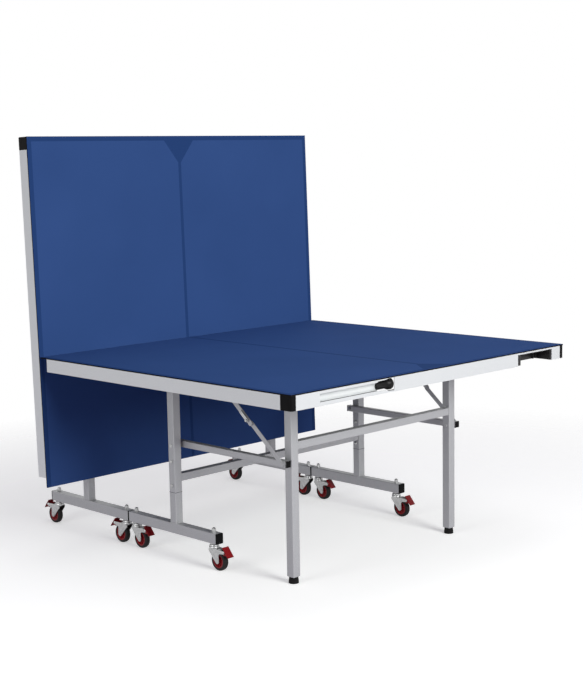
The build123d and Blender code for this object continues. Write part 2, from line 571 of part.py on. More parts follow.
def brace_latches():
    """Black finger latch on the outer face of the upper bar, with a round grip at the knee."""
    inner_y = UPPER_BAR_OUT + SIDE_CLEARANCE
    thickness = LATCH_THICKNESS - 2 * SIDE_CLEARANCE
    toward_knee = heading(LATCH_PIVOT, KNEE)
    latch = flat_bar(LATCH_PIVOT, LATCH_LENGTH, toward_knee, inner_y, thickness, LATCH_WIDTH,
                     LATCH_PIN_RADIUS + RUNNING_CLEARANCE)
    grip = swung((LATCH_PIVOT[0] + LATCH_LENGTH, LATCH_PIVOT[1]), LATCH_PIVOT, toward_knee)
    latch += rod(Axis.Y, across(grip, inner_y + thickness), LATCH_THICKNESS, LATCH_GRIP_RADIUS)
    return both_sides(latch)


# Casters: drawn on the stem's axis, trailing towards +X
def caster_fork():
    eye = (TRAIL, WHEEL_RADIUS)
    pin = (PEDAL_PIN_REACH, PEDAL_PIN_HEIGHT)
    arm_under = pin[1] - PEDAL_EAR_RADIUS
    outside = FORK_GAP / 2 + FORK_PLATE
    with BuildSketch(Plane.XZ) as cheek:
        with BuildLine():
            Polyline((-FORK_NOSE, CROWN_TOP), (FORK_WAIST_REACH, CROWN_TOP),
                     (pin[0], pin[1] + PEDAL_EAR_RADIUS), (pin[0], arm_under),
                     (FORK_WAIST_REACH, arm_under - FORK_ARM_DROP),
                     (TRAIL + FORK_EYE_RADIUS, WHEEL_RADIUS), (TRAIL - FORK_EYE_RADIUS, WHEEL_RADIUS),
                     (-FORK_NOSE, CROWN_UNDER - FORK_CROWN), close=True)
        make_face()
        with Locations(eye):
            Circle(FORK_EYE_RADIUS)
        with Locations(pin):
            Circle(PEDAL_EAR_RADIUS)
    near = Pos(0, outside, 0) * extrude(cheek.sketch, amount=FORK_PLATE)
    fork = near + mirror(near, about=Plane.XZ)
    fork += block((-FORK_NOSE, FORK_TAIL), (-outside, outside), (CROWN_UNDER, CROWN_TOP))
    fork = drilled(fork, Axis.Z, (0, 0, CROWN_UNDER), FORK_CROWN, STEM_RADIUS + RUNNING_CLEARANCE)
    fork += rod(Axis.Y, across(eye, -outside), 2 * outside, AXLE_RADIUS)
    fork += rod(Axis.Y, across(eye, outside), AXLE_HEAD, AXLE_HEAD_RADIUS)
    fork += rod(Axis.Y, across(eye, -outside), -AXLE_HEAD, AXLE_HEAD_RADIUS)
    fork += rod(Axis.Y, across(pin, -outside), 2 * outside, PEDAL_PIN_RADIUS)
    cup_top = RAIL_CLEARANCE - RACE_HEIGHT - CUP_GAP
    cup = rod(Axis.Z, (0, 0, CROWN_TOP), cup_top - CROWN_TOP, CUP_RADIUS)
    cup = fillet(cup.edges().group_by(Axis.Z)[-1], CUP_ROUND)
    cup = drilled(cup, Axis.Z, (0, 0, CROWN_TOP), cup_top - CROWN_TOP, STEM_RADIUS + RUNNING_CLEARANCE)
    return [fork, cup]


def caster_wheel():
    eye = (TRAIL, WHEEL_RADIUS)
    tyre = rod(Axis.Y, across(eye, -WHEEL_WIDTH / 2), WHEEL_WIDTH, WHEEL_RADIUS)
    tyre = fillet(tyre.edges(), TYRE_ROUND)
    tyre = drilled(tyre, Axis.Y, across(eye, -WHEEL_WIDTH / 2), WHEEL_WIDTH, HUB_RADIUS)
    hub = rod(Axis.Y, across(eye, -HUB_WIDTH / 2), HUB_WIDTH, HUB_RADIUS - TYRE_FIT)
    for face, inward in ((-HUB_WIDTH / 2, HUB_DISH), (HUB_WIDTH / 2, -HUB_DISH)):
        dish = rod(Axis.Y, across(eye, face), inward, HUB_RADIUS - HUB_RIM)
        hub -= dish - rod(Axis.Y, across(eye, face), inward, HUB_BOSS_RADIUS)
    hub = drilled(hub, Axis.Y, across(eye, -HUB_WIDTH / 2), HUB_WIDTH, AXLE_RADIUS + RUNNING_CLEARANCE)
    return [tyre, hub]


def caster_pedal():
    """Brake pedal on the pin between the fork's arms: foot plate, web and a shoe above the tyre."""
    pin = (PEDAL_PIN_REACH, PEDAL_PIN_HEIGHT)
    top = (FLAP_TOP_REACH, FLAP_TOP_HEIGHT)
    tip = (PEDAL_TIP_REACH, PEDAL_TIP_HEIGHT)
    length = hypot(tip[0] - top[0], tip[1] - top[1])
    slope = heading(top, tip)
    back = top[1] - FLAP_THICKNESS
    corners = (top, (top[0] + length, top[1]), (top[0] + length, back), (top[0], back))
    web_top, web_foot = [swung((top[0] + along, back), top, slope) for along in (WEB_START, WEB_END)]
    with BuildSketch(Plane.XZ) as flap:
        with BuildLine():
            Polyline(*[swung(corner, top, slope) for corner in corners], close=True)
        make_face()
    with BuildSketch(Plane.XZ) as web:
        with BuildLine():
            Polyline(web_top, web_foot, (SHOE_REACH, SHOE_HEIGHT), (pin[0] - PEDAL_EYE_RADIUS, pin[1]),
                     close=True)
        make_face()
        with Locations(pin):
            Circle(PEDAL_EYE_RADIUS)
    pedal = Pos(0, FLAP_WIDTH / 2, 0) * extrude(flap.sketch, amount=FLAP_WIDTH)
    pedal += Pos(0, PEDAL_WIDTH / 2, 0) * extrude(web.sketch, amount=PEDAL_WIDTH)
    hole = PEDAL_PIN_RADIUS + RUNNING_CLEARANCE
    return [drilled(pedal, Axis.Y, across(pin, -PEDAL_WIDTH / 2), PEDAL_WIDTH, hole)]


# Poses of a unit's groups at a fold angle
def turned(pivot, angle):
    return Pos(pivot[0], 0, pivot[1]) * Rot(0, -angle, 0) * Pos(-pivot[0], 0, -pivot[1])


def group_poses(fold):
    share = fold / FOLD_ANGLE
    leg_end = swung(LEG_PIVOT, FOLD_PIVOT, fold)
    top = turned(FOLD_PIVOT, fold)
    leg = Pos(leg_end[0] - LEG_PIVOT[0], 0, leg_end[1] - LEG_PIVOT[1])
    upper = top * turned(BRACE_PIVOT, UPPER_BAR_TURN * share)
    lower = leg * turned(LEG_LINK_PIVOT, LOWER_BAR_TURN * share)
    return {"trolley": Pos(0, 0, 0), "top": top, "leg": leg, "links": turned(LINK_PIVOT, fold),
            "upper": upper, "lower": lower}


UNIT = {
    "trolley": {"base_rails": base_rails(), "posts": posts(), "cross_bar": cross_bar(),
                "rail_caps": rail_caps(), "trolley_bolts": trolley_bolts()},
    "top": {"table_board": table_board(), "apron_frame": apron_frame(), "corner_caps": corner_caps(),
            "underframe": underframe(), "bat_pocket": bat_pocket(), "ball_trough": ball_trough()},
    "leg": {"leg_frame": leg_frame()},
    "links": {"link_bars": link_bars()},
    "upper": {"brace_upper": brace_upper(), "brace_latches": brace_latches()},
    "lower": {"brace_lower": brace_lower()},
}
FEET = both_sides(foot())
CASTER = {"fork": caster_fork(), "wheel": caster_wheel(), "pedal": caster_pedal()}
SIDES = ("right", "left")
HALVES = {"near": (NEAR_X, 0, 0, SIDES), "far": (FAR_X, 180, FOLD_ANGLE, SIDES[::-1])}


def save(node, solids):
    export_step(Compound(label=node, children=solids), os.path.join("parts", node + ".step"))


os.makedirs("parts", exist_ok=True)
for half, (x, facing, fold, sides) in HALVES.items():
    stand = Pos(x, 0, 0) * Rot(0, 0, facing)
    poses = group_poses(fold)
    for group, pieces in UNIT.items():
        for name, solids in pieces.items():
            save(f"{half}_{name}", [stand * poses[group] * solid for solid in solids])
    for side, solid in zip(sides, FEET):
        save(f"{half}_{side}_foot", [stand * poses["leg"] * solid])
    for side, y in zip(sides, (POST_Y, -POST_Y)):
        for end, stem_x in zip(("inner", "outer"), STEM_XS):
            for name, solids in CASTER.items():
                seat = stand * Pos(stem_x, y, 0)
                save(f"{half}_{side}_{end}_{name}", [seat * solid for solid in solids])
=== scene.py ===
# %% [markdown]
# # A roll-away table tennis table
# The table is two wheeled halves. The near one is open for play, and the far one is folded up
# behind it as a rebound wall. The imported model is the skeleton: every piece made below sits on
# it and rides on one of its bodies, so the looks follow when the table folds.

# %% Load the frame
import json
from math import cos, pi, radians, sin, tau

import bmesh
import bpy
from mathutils import Matrix, Vector


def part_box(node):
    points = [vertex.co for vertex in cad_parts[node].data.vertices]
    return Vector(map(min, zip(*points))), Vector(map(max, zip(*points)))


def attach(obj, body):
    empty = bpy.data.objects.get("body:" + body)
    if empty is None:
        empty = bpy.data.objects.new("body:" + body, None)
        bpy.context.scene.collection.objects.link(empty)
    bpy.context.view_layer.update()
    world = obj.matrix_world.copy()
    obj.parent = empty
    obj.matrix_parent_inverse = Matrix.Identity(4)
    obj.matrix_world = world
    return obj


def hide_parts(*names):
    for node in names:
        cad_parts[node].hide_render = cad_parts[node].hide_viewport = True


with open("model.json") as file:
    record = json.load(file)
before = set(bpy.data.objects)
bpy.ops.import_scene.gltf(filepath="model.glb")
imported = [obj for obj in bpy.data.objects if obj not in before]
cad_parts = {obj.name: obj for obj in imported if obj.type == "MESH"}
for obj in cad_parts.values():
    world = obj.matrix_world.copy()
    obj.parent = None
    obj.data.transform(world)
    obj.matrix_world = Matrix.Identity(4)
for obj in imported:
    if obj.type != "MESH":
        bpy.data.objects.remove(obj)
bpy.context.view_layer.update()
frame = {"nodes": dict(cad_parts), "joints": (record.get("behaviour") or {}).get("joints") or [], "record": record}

scene = bpy.context.scene
nodes = frame["nodes"]
joints = {joint["name"]: joint for joint in frame["joints"]}
bodies = frame["record"]["behaviour"]["bodies"]
body_of = {node: body for body, members in bodies.items() for node in members}
slot_of = {part["node"]: part["material_slot"] for part in frame["record"]["subparts"]}
HALVES = ("near", "far")
SIDES = (-1, 1)

# %% [markdown]
# Both halves are the same unit, so each detail is drawn once, in millimetres, on a unit that
# stands open. A matrix then carries it to each half. The far top is turned round and folded up
# by the full range of its hinge, which the joint itself tells us.

# %% Places of the two halves
MM = 0.001
millimetres = Matrix.Scale(MM, 4)


def pivot(joint):
    """A hinge's point, in metres."""
    return Vector(joints[joint]["pos_m"])


def corners(node, origin):
    """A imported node's box in millimetres from an origin."""
    return [(corner - origin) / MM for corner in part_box(node)]


FOLD = radians(joints["far_fold"]["range_deg"][1])
turn_round = Matrix.Rotation(pi, 4, "Z")
fold_up = Matrix.Rotation(-FOLD, 4, "Y")
near_axis = pivot("near_fold")
far_axis = pivot("far_fold")
to_floor = Matrix.Translation((0, 0, -near_axis.z))
top_place = {"near": Matrix.Translation(near_axis),
             "far": Matrix.Translation(far_axis) @ turn_round @ fold_up}
trolley_place = {"near": Matrix.Translation(near_axis) @ to_floor,
                 "far": Matrix.Translation(far_axis) @ turn_round @ to_floor}
leg_place = {"near": Matrix.Translation(pivot("near_leg_swing")),
             "far": Matrix.Translation(pivot("far_leg_swing")) @ turn_round}
board_low, board_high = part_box("near_table_board")
BOARD_LENGTH = board_high.x - board_low.x
BOARD_THICKNESS = board_high.z - board_low.z
HALF_WIDTH = board_high.y
NET_REACH = near_axis.x - board_low.x
SURFACE = board_high.z - near_axis.z
print("board", round(BOARD_LENGTH, 3), "by", round(2 * HALF_WIDTH, 3), "m,",
      "surface", round(SURFACE, 3), "m above its hinge")

# %% [markdown]
# ## Finishes
# Every finish is a small node tree on Object coordinates, so the grain stays on the piece when
# it moves. A few helpers keep the trees short: `add` makes a node and fills its sockets, `calc`
# is one sum, `grain` a noise, `span` a noise stretched between two values.

# %% Node helpers
def feed(tree, socket, value):
    """Link a socket, or set a plain value."""
    if isinstance(value, bpy.types.NodeSocket):
        tree.links.new(value, socket)
    else:
        socket.default_value = value


def add(tree, kind, inputs=None, **settings):
    made = tree.nodes.new(kind)
    for name, value in settings.items():
        setattr(made, name, value)
    for key, value in (inputs or {}).items():
        feed(tree, made.inputs[key], value)
    return made


def calc(tree, operation, first, second=0.0):
    return add(tree, "ShaderNodeMath", {0: first, 1: second}, operation=operation).outputs[0]


def grain(tree, place, scale, detail=3.0):
    inputs = {"Vector": place, "Scale": scale, "Detail": detail}
    return add(tree, "ShaderNodeTexNoise", inputs).outputs["Fac"]


def span(tree, factor, low, high, from_low=0.3, from_high=0.7):
    inputs = {"Value": factor, "From Min": from_low, "From Max": from_high,
              "To Min": low, "To Max": high}
    return add(tree, "ShaderNodeMapRange", inputs).outputs["Result"]


def mix_colours(tree, factor, first, second):
    """Blend two colours; each is a socket or an (r, g, b)."""
    whole = [value if isinstance(value, bpy.types.NodeSocket) else (*value, 1.0)
             for value in (first, second)]
    inputs = {0: factor, 6: whole[0], 7: whole[1]}
    return add(tree, "ShaderNodeMix", inputs, data_type="RGBA").outputs[2]


def bumps(tree, shader, height, strength, distance):
    inputs = {"Height": height, "Strength": strength, "Distance": distance}
    feed(tree, shader.inputs["Normal"], add(tree, "ShaderNodeBump", inputs).outputs["Normal"])


def new_finish(name):
    material = bpy.data.materials.new(name)
    material.use_nodes = True
    tree = material.node_tree
    place = add(tree, "ShaderNodeTexCoord").outputs["Object"]
    return material, tree, tree.nodes["Principled BSDF"], place


print("node helpers ready")

# %% [markdown]
# The playing surface is matt blue paint, rolled on, with darker blue lines: a border along the
# sides and the player's end, a centre line, and a plain wedge where the centre line meets that
# end. The lines are sums on the board's own coordinates. A Mapping node brings both boards to
# the same coordinates, so the folded one wears the same lines. Below the painted face the board
# has a black edge, and its underside is sealed chipboard with paler chips showing through.

# %% Playing surface
PAINT_BLUE = (0.0325, 0.0770, 0.2215)
PAINT_BLUE_PALE = (0.0364, 0.0845, 0.240)
LINE_BLUE = (0.0209, 0.0555, 0.171)
BOARD_EDGE = (0.010, 0.009, 0.009)
BOARD_CHIP = (0.032, 0.028, 0.025)
BORDER = 0.019
CENTRE_LINE = 0.015
WEDGE_START = 1.250
WEDGE_END = 1.351
WEDGE_HALF = 0.080
LINE_SOFTNESS = 0.0012
FACE_DEPTH = 0.0006
CLOUD_SCALE = 2.2
CHIP_SCALE = 140.0
CHIP_SHARE = (0.4, 0.68)
ROLLER_SCALE = 900.0
ROLLER_RELIEF = (0.06, 0.0002)
MATT = (0.74, 0.84)
SURFACE_SHEEN = 0.02


def inside(tree, distance, limit):
    """1 where a distance is under its limit, with a soft rim."""
    room = calc(tree, "SUBTRACT", limit, distance)
    return span(tree, room, 0.0, 1.0, -LINE_SOFTNESS / 2, LINE_SOFTNESS / 2)


def playing_surface(half):
    material, tree, shader, place = new_finish(f"{half}_playing_surface")
    to_board = Matrix.Translation((NET_REACH, 0, -SURFACE)) @ top_place[half].inverted()
    inputs = {"Vector": place, "Location": to_board.translation,
              "Rotation": to_board.to_euler("XYZ")}
    board_place = add(tree, "ShaderNodeMapping", inputs, vector_type="POINT").outputs["Vector"]
    along, across, height = add(tree, "ShaderNodeSeparateXYZ", {0: board_place}).outputs
    off_centre = calc(tree, "ABSOLUTE", across)
    to_side = calc(tree, "SUBTRACT", HALF_WIDTH, off_centre)
    to_end = calc(tree, "SUBTRACT", BOARD_LENGTH, along)
    border = inside(tree, calc(tree, "MINIMUM", to_side, to_end), BORDER)
    wedge = span(tree, along, 0.0, WEDGE_HALF, WEDGE_START, WEDGE_END)
    middle = inside(tree, off_centre, calc(tree, "MAXIMUM", wedge, CENTRE_LINE / 2))
    line = calc(tree, "MAXIMUM", border, middle)
    cloud = span(tree, grain(tree, board_place, CLOUD_SCALE), 0.0, 1.0)
    paint = mix_colours(tree, cloud, PAINT_BLUE, PAINT_BLUE_PALE)
    face = mix_colours(tree, line, paint, LINE_BLUE)
    on_face = calc(tree, "GREATER_THAN", height, -FACE_DEPTH)
    below = calc(tree, "LESS_THAN", height, FACE_DEPTH - BOARD_THICKNESS)
    chips = span(tree, grain(tree, board_place, CHIP_SCALE, detail=4.0), 0.0, 1.0, *CHIP_SHARE)
    sealed = mix_colours(tree, calc(tree, "MULTIPLY", chips, below), BOARD_EDGE, BOARD_CHIP)
    feed(tree, shader.inputs["Base Color"], mix_colours(tree, on_face, sealed, face))
    roller = grain(tree, board_place, ROLLER_SCALE, detail=2.0)
    feed(tree, shader.inputs["Roughness"], span(tree, roller, *MATT))
    shader.inputs["Specular IOR Level"].default_value = SURFACE_SHEEN
    bumps(tree, shader, roller, *ROLLER_RELIEF)
    return material


surfaces = {half: playing_surface(half) for half in HALVES}
print("playing surfaces", list(surfaces))

# %% [markdown]
# The rest of the table needs three kinds of finish. Silver paint on the tubes has tiny metal
# flakes, so its colour comes from a fine Voronoi cell pattern, and the aprons are a paler satin
# coat of the same kind. Zinc plate is bright metal with faint cloudy patches. The plastics are
# black and red with a moulded grain, and the rubber of tyres and feet is duller.

# %% Paint, metal, plastic and rubber
FLAKE_SCALE = 1600.0
GLOSS_SCALE = 14.0
PEEL_SCALE = 260.0
PEEL_RELIEF = (0.05, 0.0003)
PATCH_SCALE = 90.0
PLATE_SCALE = 700.0
PLATE_RELIEF = (0.04, 0.0002)
DRIFT_SCALE = 35.0
MOULD_DEPTH = 0.0003
# How far the roughness drifts at each end of its noise.
PAINT_SWING = (-0.04, 0.05)
PLATE_SWING = (0.08, -0.06)
MOULD_SWING = (-0.05, 0.06)


def vary_roughness(tree, shader, noise, rough, swing):
    low, high = [rough + step for step in swing]
    feed(tree, shader.inputs["Roughness"], span(tree, noise, low, high))


def flaked_paint(name, dark, light, metal, rough):
    """Silver coat: flakes in the colour, slow clouds in the gloss, orange peel in the relief."""
    material, tree, shader, place = new_finish(name)
    cells = add(tree, "ShaderNodeTexVoronoi", {"Vector": place, "Scale": FLAKE_SCALE})
    sparkle = add(tree, "ShaderNodeSeparateColor", {0: cells.outputs["Color"]}).outputs[0]
    feed(tree, shader.inputs["Base Color"], mix_colours(tree, sparkle, dark, light))
    gloss = grain(tree, place, GLOSS_SCALE)
    vary_roughness(tree, shader, gloss, rough, PAINT_SWING)
    shader.inputs["Metallic"].default_value = metal
    bumps(tree, shader, grain(tree, place, PEEL_SCALE, detail=2.0), *PEEL_RELIEF)
    return material


def plated_metal(name, dark, light, rough):
    """Zinc plate: cloudy patches in the colour and gloss."""
    material, tree, shader, place = new_finish(name)
    patches = grain(tree, place, PATCH_SCALE, detail=4.0)
    colour = mix_colours(tree, span(tree, patches, 0.0, 1.0), dark, light)
    feed(tree, shader.inputs["Base Color"], colour)
    vary_roughness(tree, shader, patches, rough, PLATE_SWING)
    shader.inputs["Metallic"].default_value = 1.0
    bumps(tree, shader, grain(tree, place, PLATE_SCALE, detail=2.0), *PLATE_RELIEF)
    return material


def moulded(name, dark, light, rough, grain_scale, relief, sheen):
    """Plastic or rubber: slight colour drift and a fine moulded grain."""
    material, tree, shader, place = new_finish(name)
    drift = span(tree, grain(tree, place, DRIFT_SCALE), 0.0, 1.0)
    feed(tree, shader.inputs["Base Color"], mix_colours(tree, drift, dark, light))
    fine = grain(tree, place, grain_scale, detail=2.0)
    vary_roughness(tree, shader, fine, rough, MOULD_SWING)
    shader.inputs["Specular IOR Level"].default_value = sheen
    bumps(tree, shader, fine, relief, MOULD_DEPTH)
    return material


print("finish recipes ready")

# %% Mix the finishes
SILVER = ((0.36, 0.37, 0.373), (0.46, 0.47, 0.471))
SATIN = ((0.615, 0.642, 0.632), (0.695, 0.722, 0.711))
ZINC = ((0.38, 0.385, 0.39), (0.50, 0.50, 0.50))
# Material, dark and light colour, roughness, scale and relief of the grain, sheen.
MOULDINGS = {
    "black_plastic": ("black_moulded_plastic", (0.0026, 0.0026, 0.0030), (0.0046, 0.0046, 0.0050),
                      0.42, 800.0, 0.15, 0.05),
    "liner_plastic": ("black_liner_plastic", (0.0075, 0.0073, 0.0073), (0.0125, 0.0120, 0.0120),
                      0.38, 800.0, 0.15, 0.25),
    "mouth_plastic": ("black_mouth_plastic", (0.0040, 0.0040, 0.0042), (0.0070, 0.0068, 0.0068),
                      0.36, 800.0, 0.15, 0.12),
    "red_plastic": ("red_moulded_plastic", (0.205, 0.005, 0.008), (0.245, 0.007, 0.010),
                    0.38, 600.0, 0.08, 0.20),
    "hub_plastic": ("red_hub_plastic", (0.23, 0.005, 0.008), (0.28, 0.007, 0.011),
                    0.40, 600.0, 0.08, 0.30),
    "caster_rubber": ("tyre_rubber", (0.009, 0.009, 0.009), (0.018, 0.017, 0.016),
                      0.60, 500.0, 0.20, 0.18),
    "black_rubber": ("foot_rubber", (0.005, 0.005, 0.005), (0.009, 0.009, 0.009),
                     0.62, 500.0, 0.22, 0.10),
}
finishes = {
    "silver_tube": flaked_paint("silver_tube_paint", *SILVER, metal=0.35, rough=0.42),
    "frame_paint": flaked_paint("frame_silver_paint", *SILVER, metal=0.35, rough=0.44),
    "apron_paint": flaked_paint("apron_satin_coat", *SATIN, metal=0.25, rough=0.40),
    "zinc": plated_metal("zinc_plate", *ZINC, rough=0.30),
}
for finish, recipe in MOULDINGS.items():
    finishes[finish] = moulded(*recipe)
print("finishes", len(finishes))

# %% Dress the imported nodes
for name, part in nodes.items():
    slot = slot_of[name]
    half = name.split("_")[0]
    part.material_slots[0].material = surfaces[half] if slot == "blue_board" else finishes[slot]
print("dressed", len(nodes), "nodes")

# %% [markdown]
# ## Shapes
# Small turned or cut pieces are drawn in millimetres with three tools. `lathe` turns a profile
# about Z, `plate` cuts an outline in the XZ plane from a sheet, and `brick` is a block. The last
# two round their rims, because no real edge is perfectly sharp. `gathered` makes one mesh of
# several shapes, `make_piece` hangs the finished mesh on its body, and `on_both_halves` hangs a
# copy on each half.

# %% Turned, cut and block shapes
ROUND_STEPS = 64
FINE_STEPS = 32
SMALL_STEPS = 24
RIM_SEGMENTS = 3
TINY = 1e-6


def lathe(profile, steps=ROUND_STEPS):
    """Turn (radius, height) points about Z; a profile off the axis closes into a ring."""
    shape = bmesh.new()
    rings = []
    for radius, height in profile:
        count = 1 if radius < TINY else steps
        turns = [tau * k / steps for k in range(count)]
        spots = [(radius * cos(turn), radius * sin(turn), height) for turn in turns]
        rings.append([shape.verts.new(spot) for spot in spots])
    pairs = list(zip(rings, rings[1:]))
    if len(rings[0]) > 1:
        pairs.append((rings[-1], rings[0]))
    for low, high in pairs:
        for k in range(steps):
            steps_round = ((low, k), (low, k + 1), (high, k + 1), (high, k))
            loop = [ring[step % len(ring)] for ring, step in steps_round]
            shape.faces.new(dict.fromkeys(loop))
    bmesh.ops.recalc_face_normals(shape, faces=shape.faces)
    return shape


def rounded(shape, edges, width):
    if width:
        bmesh.ops.bevel(shape, geom=edges, offset=width, segments=RIM_SEGMENTS, profile=0.5,
                        affect="EDGES")
    bmesh.ops.recalc_face_normals(shape, faces=shape.faces)
    return shape


def plate(outline, low, high, rim=0.0):
    """Sheet cut to (x, z) points, from one place across to another."""
    shape = bmesh.new()
    left = [shape.verts.new((x, low, z)) for x, z in outline]
    right = [shape.verts.new((x, high, z)) for x, z in outline]
    shape.faces.new(left)
    shape.faces.new(right[::-1])
    for k in range(len(outline)):
        shape.faces.new((left[k - 1], left[k], right[k], right[k - 1]))
    rims = [edge for edge in shape.edges if edge.verts[0].co.y == edge.verts[1].co.y]
    return rounded(shape, rims, rim)


def brick(x, y, z, rim):
    """Block between (low, high) on each axis."""
    shape = bmesh.new()
    sizes = [high - low for low, high in (x, y, z)]
    middle = [(high + low) / 2 for low, high in (x, y, z)]
    block = Matrix.Translation(middle) @ Matrix.Diagonal((*sizes, 1.0))
    bmesh.ops.create_cube(shape, size=1.0, matrix=block)
    return rounded(shape, shape.edges[:], rim)


def circle(centre, radius, steps, start=0.0, sweep=tau):
    """Points (x, z) on an arc, or on a whole circle."""
    turns = [start + sweep * k / steps for k in range(steps + (sweep < tau))]
    return [(centre[0] + radius * cos(turn), centre[1] + radius * sin(turn)) for turn in turns]


print("shape helpers ready")

# %% Gather shapes and hang pieces
SMOOTH_ANGLE = radians(40)
lay_across = Matrix.Rotation(pi / 2, 4, "X")


def as_mesh(name, shape):
    """A plain mesh from a bmesh shape, which is used up."""
    mesh = bpy.data.meshes.new(name)
    shape.to_mesh(mesh)
    shape.free()
    return mesh


def new_object(name, data):
    made = bpy.data.objects.new(name, data)
    scene.collection.objects.link(made)
    return made


def settled(carrier):
    """The plain mesh that an object's modifiers make; the object itself is removed."""
    evaluated = carrier.evaluated_get(bpy.context.evaluated_depsgraph_get())
    mesh = bpy.data.meshes.new_from_object(evaluated)
    bpy.data.objects.remove(carrier)
    return mesh


def gathered(name, *shapes):
    """One mesh from bmesh shapes and meshes, each with an optional matrix."""
    whole = bmesh.new()
    for entry in shapes:
        shape, move = entry if isinstance(entry, tuple) else (entry, Matrix.Identity(4))
        mesh = as_mesh("shape", shape) if isinstance(shape, bmesh.types.BMesh) else shape
        mesh.transform(move)
        whole.from_mesh(mesh)
        bpy.data.meshes.remove(mesh)
    return as_mesh(name, whole)


def make_piece(name, mesh, finish, body, stands_for=()):
    """Hang a mesh, already in its place, on a body."""
    mesh.name = name
    mesh.materials.clear()
    mesh.materials.append(finishes[finish])
    mesh.shade_smooth()
    mesh.set_sharp_from_angle(angle=SMOOTH_ANGLE)
    piece = new_object(name, mesh)
    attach(piece, body)
    if stands_for:
        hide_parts(*stands_for)


def put(mesh, place):
    """A copy of a mesh drawn in millimetres, carried to its place in metres."""
    copy = mesh.copy()
    copy.transform(place @ millimetres)
    return copy


def on_both_halves(name, shape, places, finish, body, stands_for=None):
    """One copy of a shape on each half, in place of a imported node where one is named."""
    for half in HALVES:
        replaced = [f"{half}_{stands_for}"] if stands_for else []
        make_piece(f"{half}_{name}", put(shape, places[half]), finish, f"{half}_{body}",
                   replaced)


# %% [markdown]
# ## What repeats
# Spokes round a hub, grip ribs or screws in a row, a weld bead's ripples and a thread's turns all
# follow a rule, so Geometry Nodes make them. Each tree takes its sizes as named inputs and ends in
# Realize Instances and Set Material. `grow` sets the inputs by their identifiers, evaluates the
# tree once and keeps the plain mesh.

# %% Geometry node helpers
SOCKETS = {float: "NodeSocketFloat", int: "NodeSocketInt", tuple: "NodeSocketVector"}


def new_tree(name, **defaults):
    """Geometry tree with a named input for each size; gives the tree and its input sockets."""
    tree = bpy.data.node_groups.new(name, "GeometryNodeTree")
    tree.interface.new_socket("Geometry", in_out="OUTPUT", socket_type="NodeSocketGeometry")
    for size, value in defaults.items():
        kind = SOCKETS[type(value)]
        socket = tree.interface.new_socket(size, in_out="INPUT", socket_type=kind)
        socket.default_value = value
    tree.interface.new_socket("finish", in_out="INPUT", socket_type="NodeSocketMaterial")
    return tree, add(tree, "NodeGroupInput").outputs


def close_tree(tree, sizes, kind, **inputs):
    """Add a tree's last node, make its result real and give it its finish.

    An underscore in an input's name stands for a space.
    """
    spelled = {name.replace("_", " "): value for name, value in inputs.items()}
    geometry = add(tree, kind, spelled).outputs[0]
    real = add(tree, "GeometryNodeRealizeInstances", {0: geometry}).outputs[0]
    painted = add(tree, "GeometryNodeSetMaterial", {"Geometry": real, "Material": sizes["finish"]})
    add(tree, "NodeGroupOutput", {0: painted.outputs[0]})
    return tree


def grow(tree, **sizes):
    """Evaluate a tree with these sizes and keep the result as a plain mesh."""
    carrier = new_object("carrier", bpy.data.meshes.new("carrier"))
    modifier = carrier.modifiers.new("grow", "NODES")
    modifier.node_group = tree
    for socket in tree.interface.items_tree:
        if socket.in_out == "INPUT" and socket.name in sizes:
            modifier[socket.identifier] = sizes[socket.name]
    return settled(carrier)


def combined(tree, x=0.0, y=0.0, z=0.0):
    return add(tree, "ShaderNodeCombineXYZ", {0: x, 1: y, 2: z}).outputs[0]


def points_in_row(tree, sizes):
    """Points between the inputs start and end."""
    inputs = {"Count": sizes["count"], "Start Location": sizes["start"], "Offset": sizes["end"]}
    return add(tree, "GeometryNodeMeshLine", inputs, mode="END_POINTS").outputs[0]


print("tree helpers ready")

# %% Spokes, ribs and screws
SCREW_SIDES = 24
SCREW_CROWN = 0.62


def spoke_ring():
    """Blocks on a circle about Z, each turned to point outwards."""
    tree, sizes = new_tree("spoke_ring", count=8, radius=16.0, size=(13.0, 2.0, 16.0))
    inputs = {"Vertices": sizes["count"], "Radius": sizes["radius"]}
    ring = add(tree, "GeometryNodeMeshCircle", inputs).outputs[0]
    spoke = add(tree, "GeometryNodeMeshCube", {"Size": sizes["size"]}).outputs[0]
    out = add(tree, "GeometryNodeInputPosition").outputs[0]
    turn = add(tree, "FunctionNodeAlignRotationToVector", {"Vector": out}, axis="X",
               pivot_axis="Z").outputs[0]
    return close_tree(tree, sizes, "GeometryNodeInstanceOnPoints", Points=ring, Instance=spoke,
                      Rotation=turn)


def rib_row():
    """Blocks in a row between two points, all leaning by the same angle about Y."""
    tree, sizes = new_tree("rib_row", count=5, start=(0.0, 0.0, 0.0), end=(1.0, 0.0, 0.0),
                           size=(1.0, 1.0, 1.0), lean=0.0)
    row = points_in_row(tree, sizes)
    rib = add(tree, "GeometryNodeMeshCube", {"Size": sizes["size"]}).outputs[0]
    lean = combined(tree, y=sizes["lean"])
    turn = add(tree, "FunctionNodeEulerToRotation", {0: lean}).outputs[0]
    return close_tree(tree, sizes, "GeometryNodeInstanceOnPoints", Points=row, Instance=rib,
                      Rotation=turn)


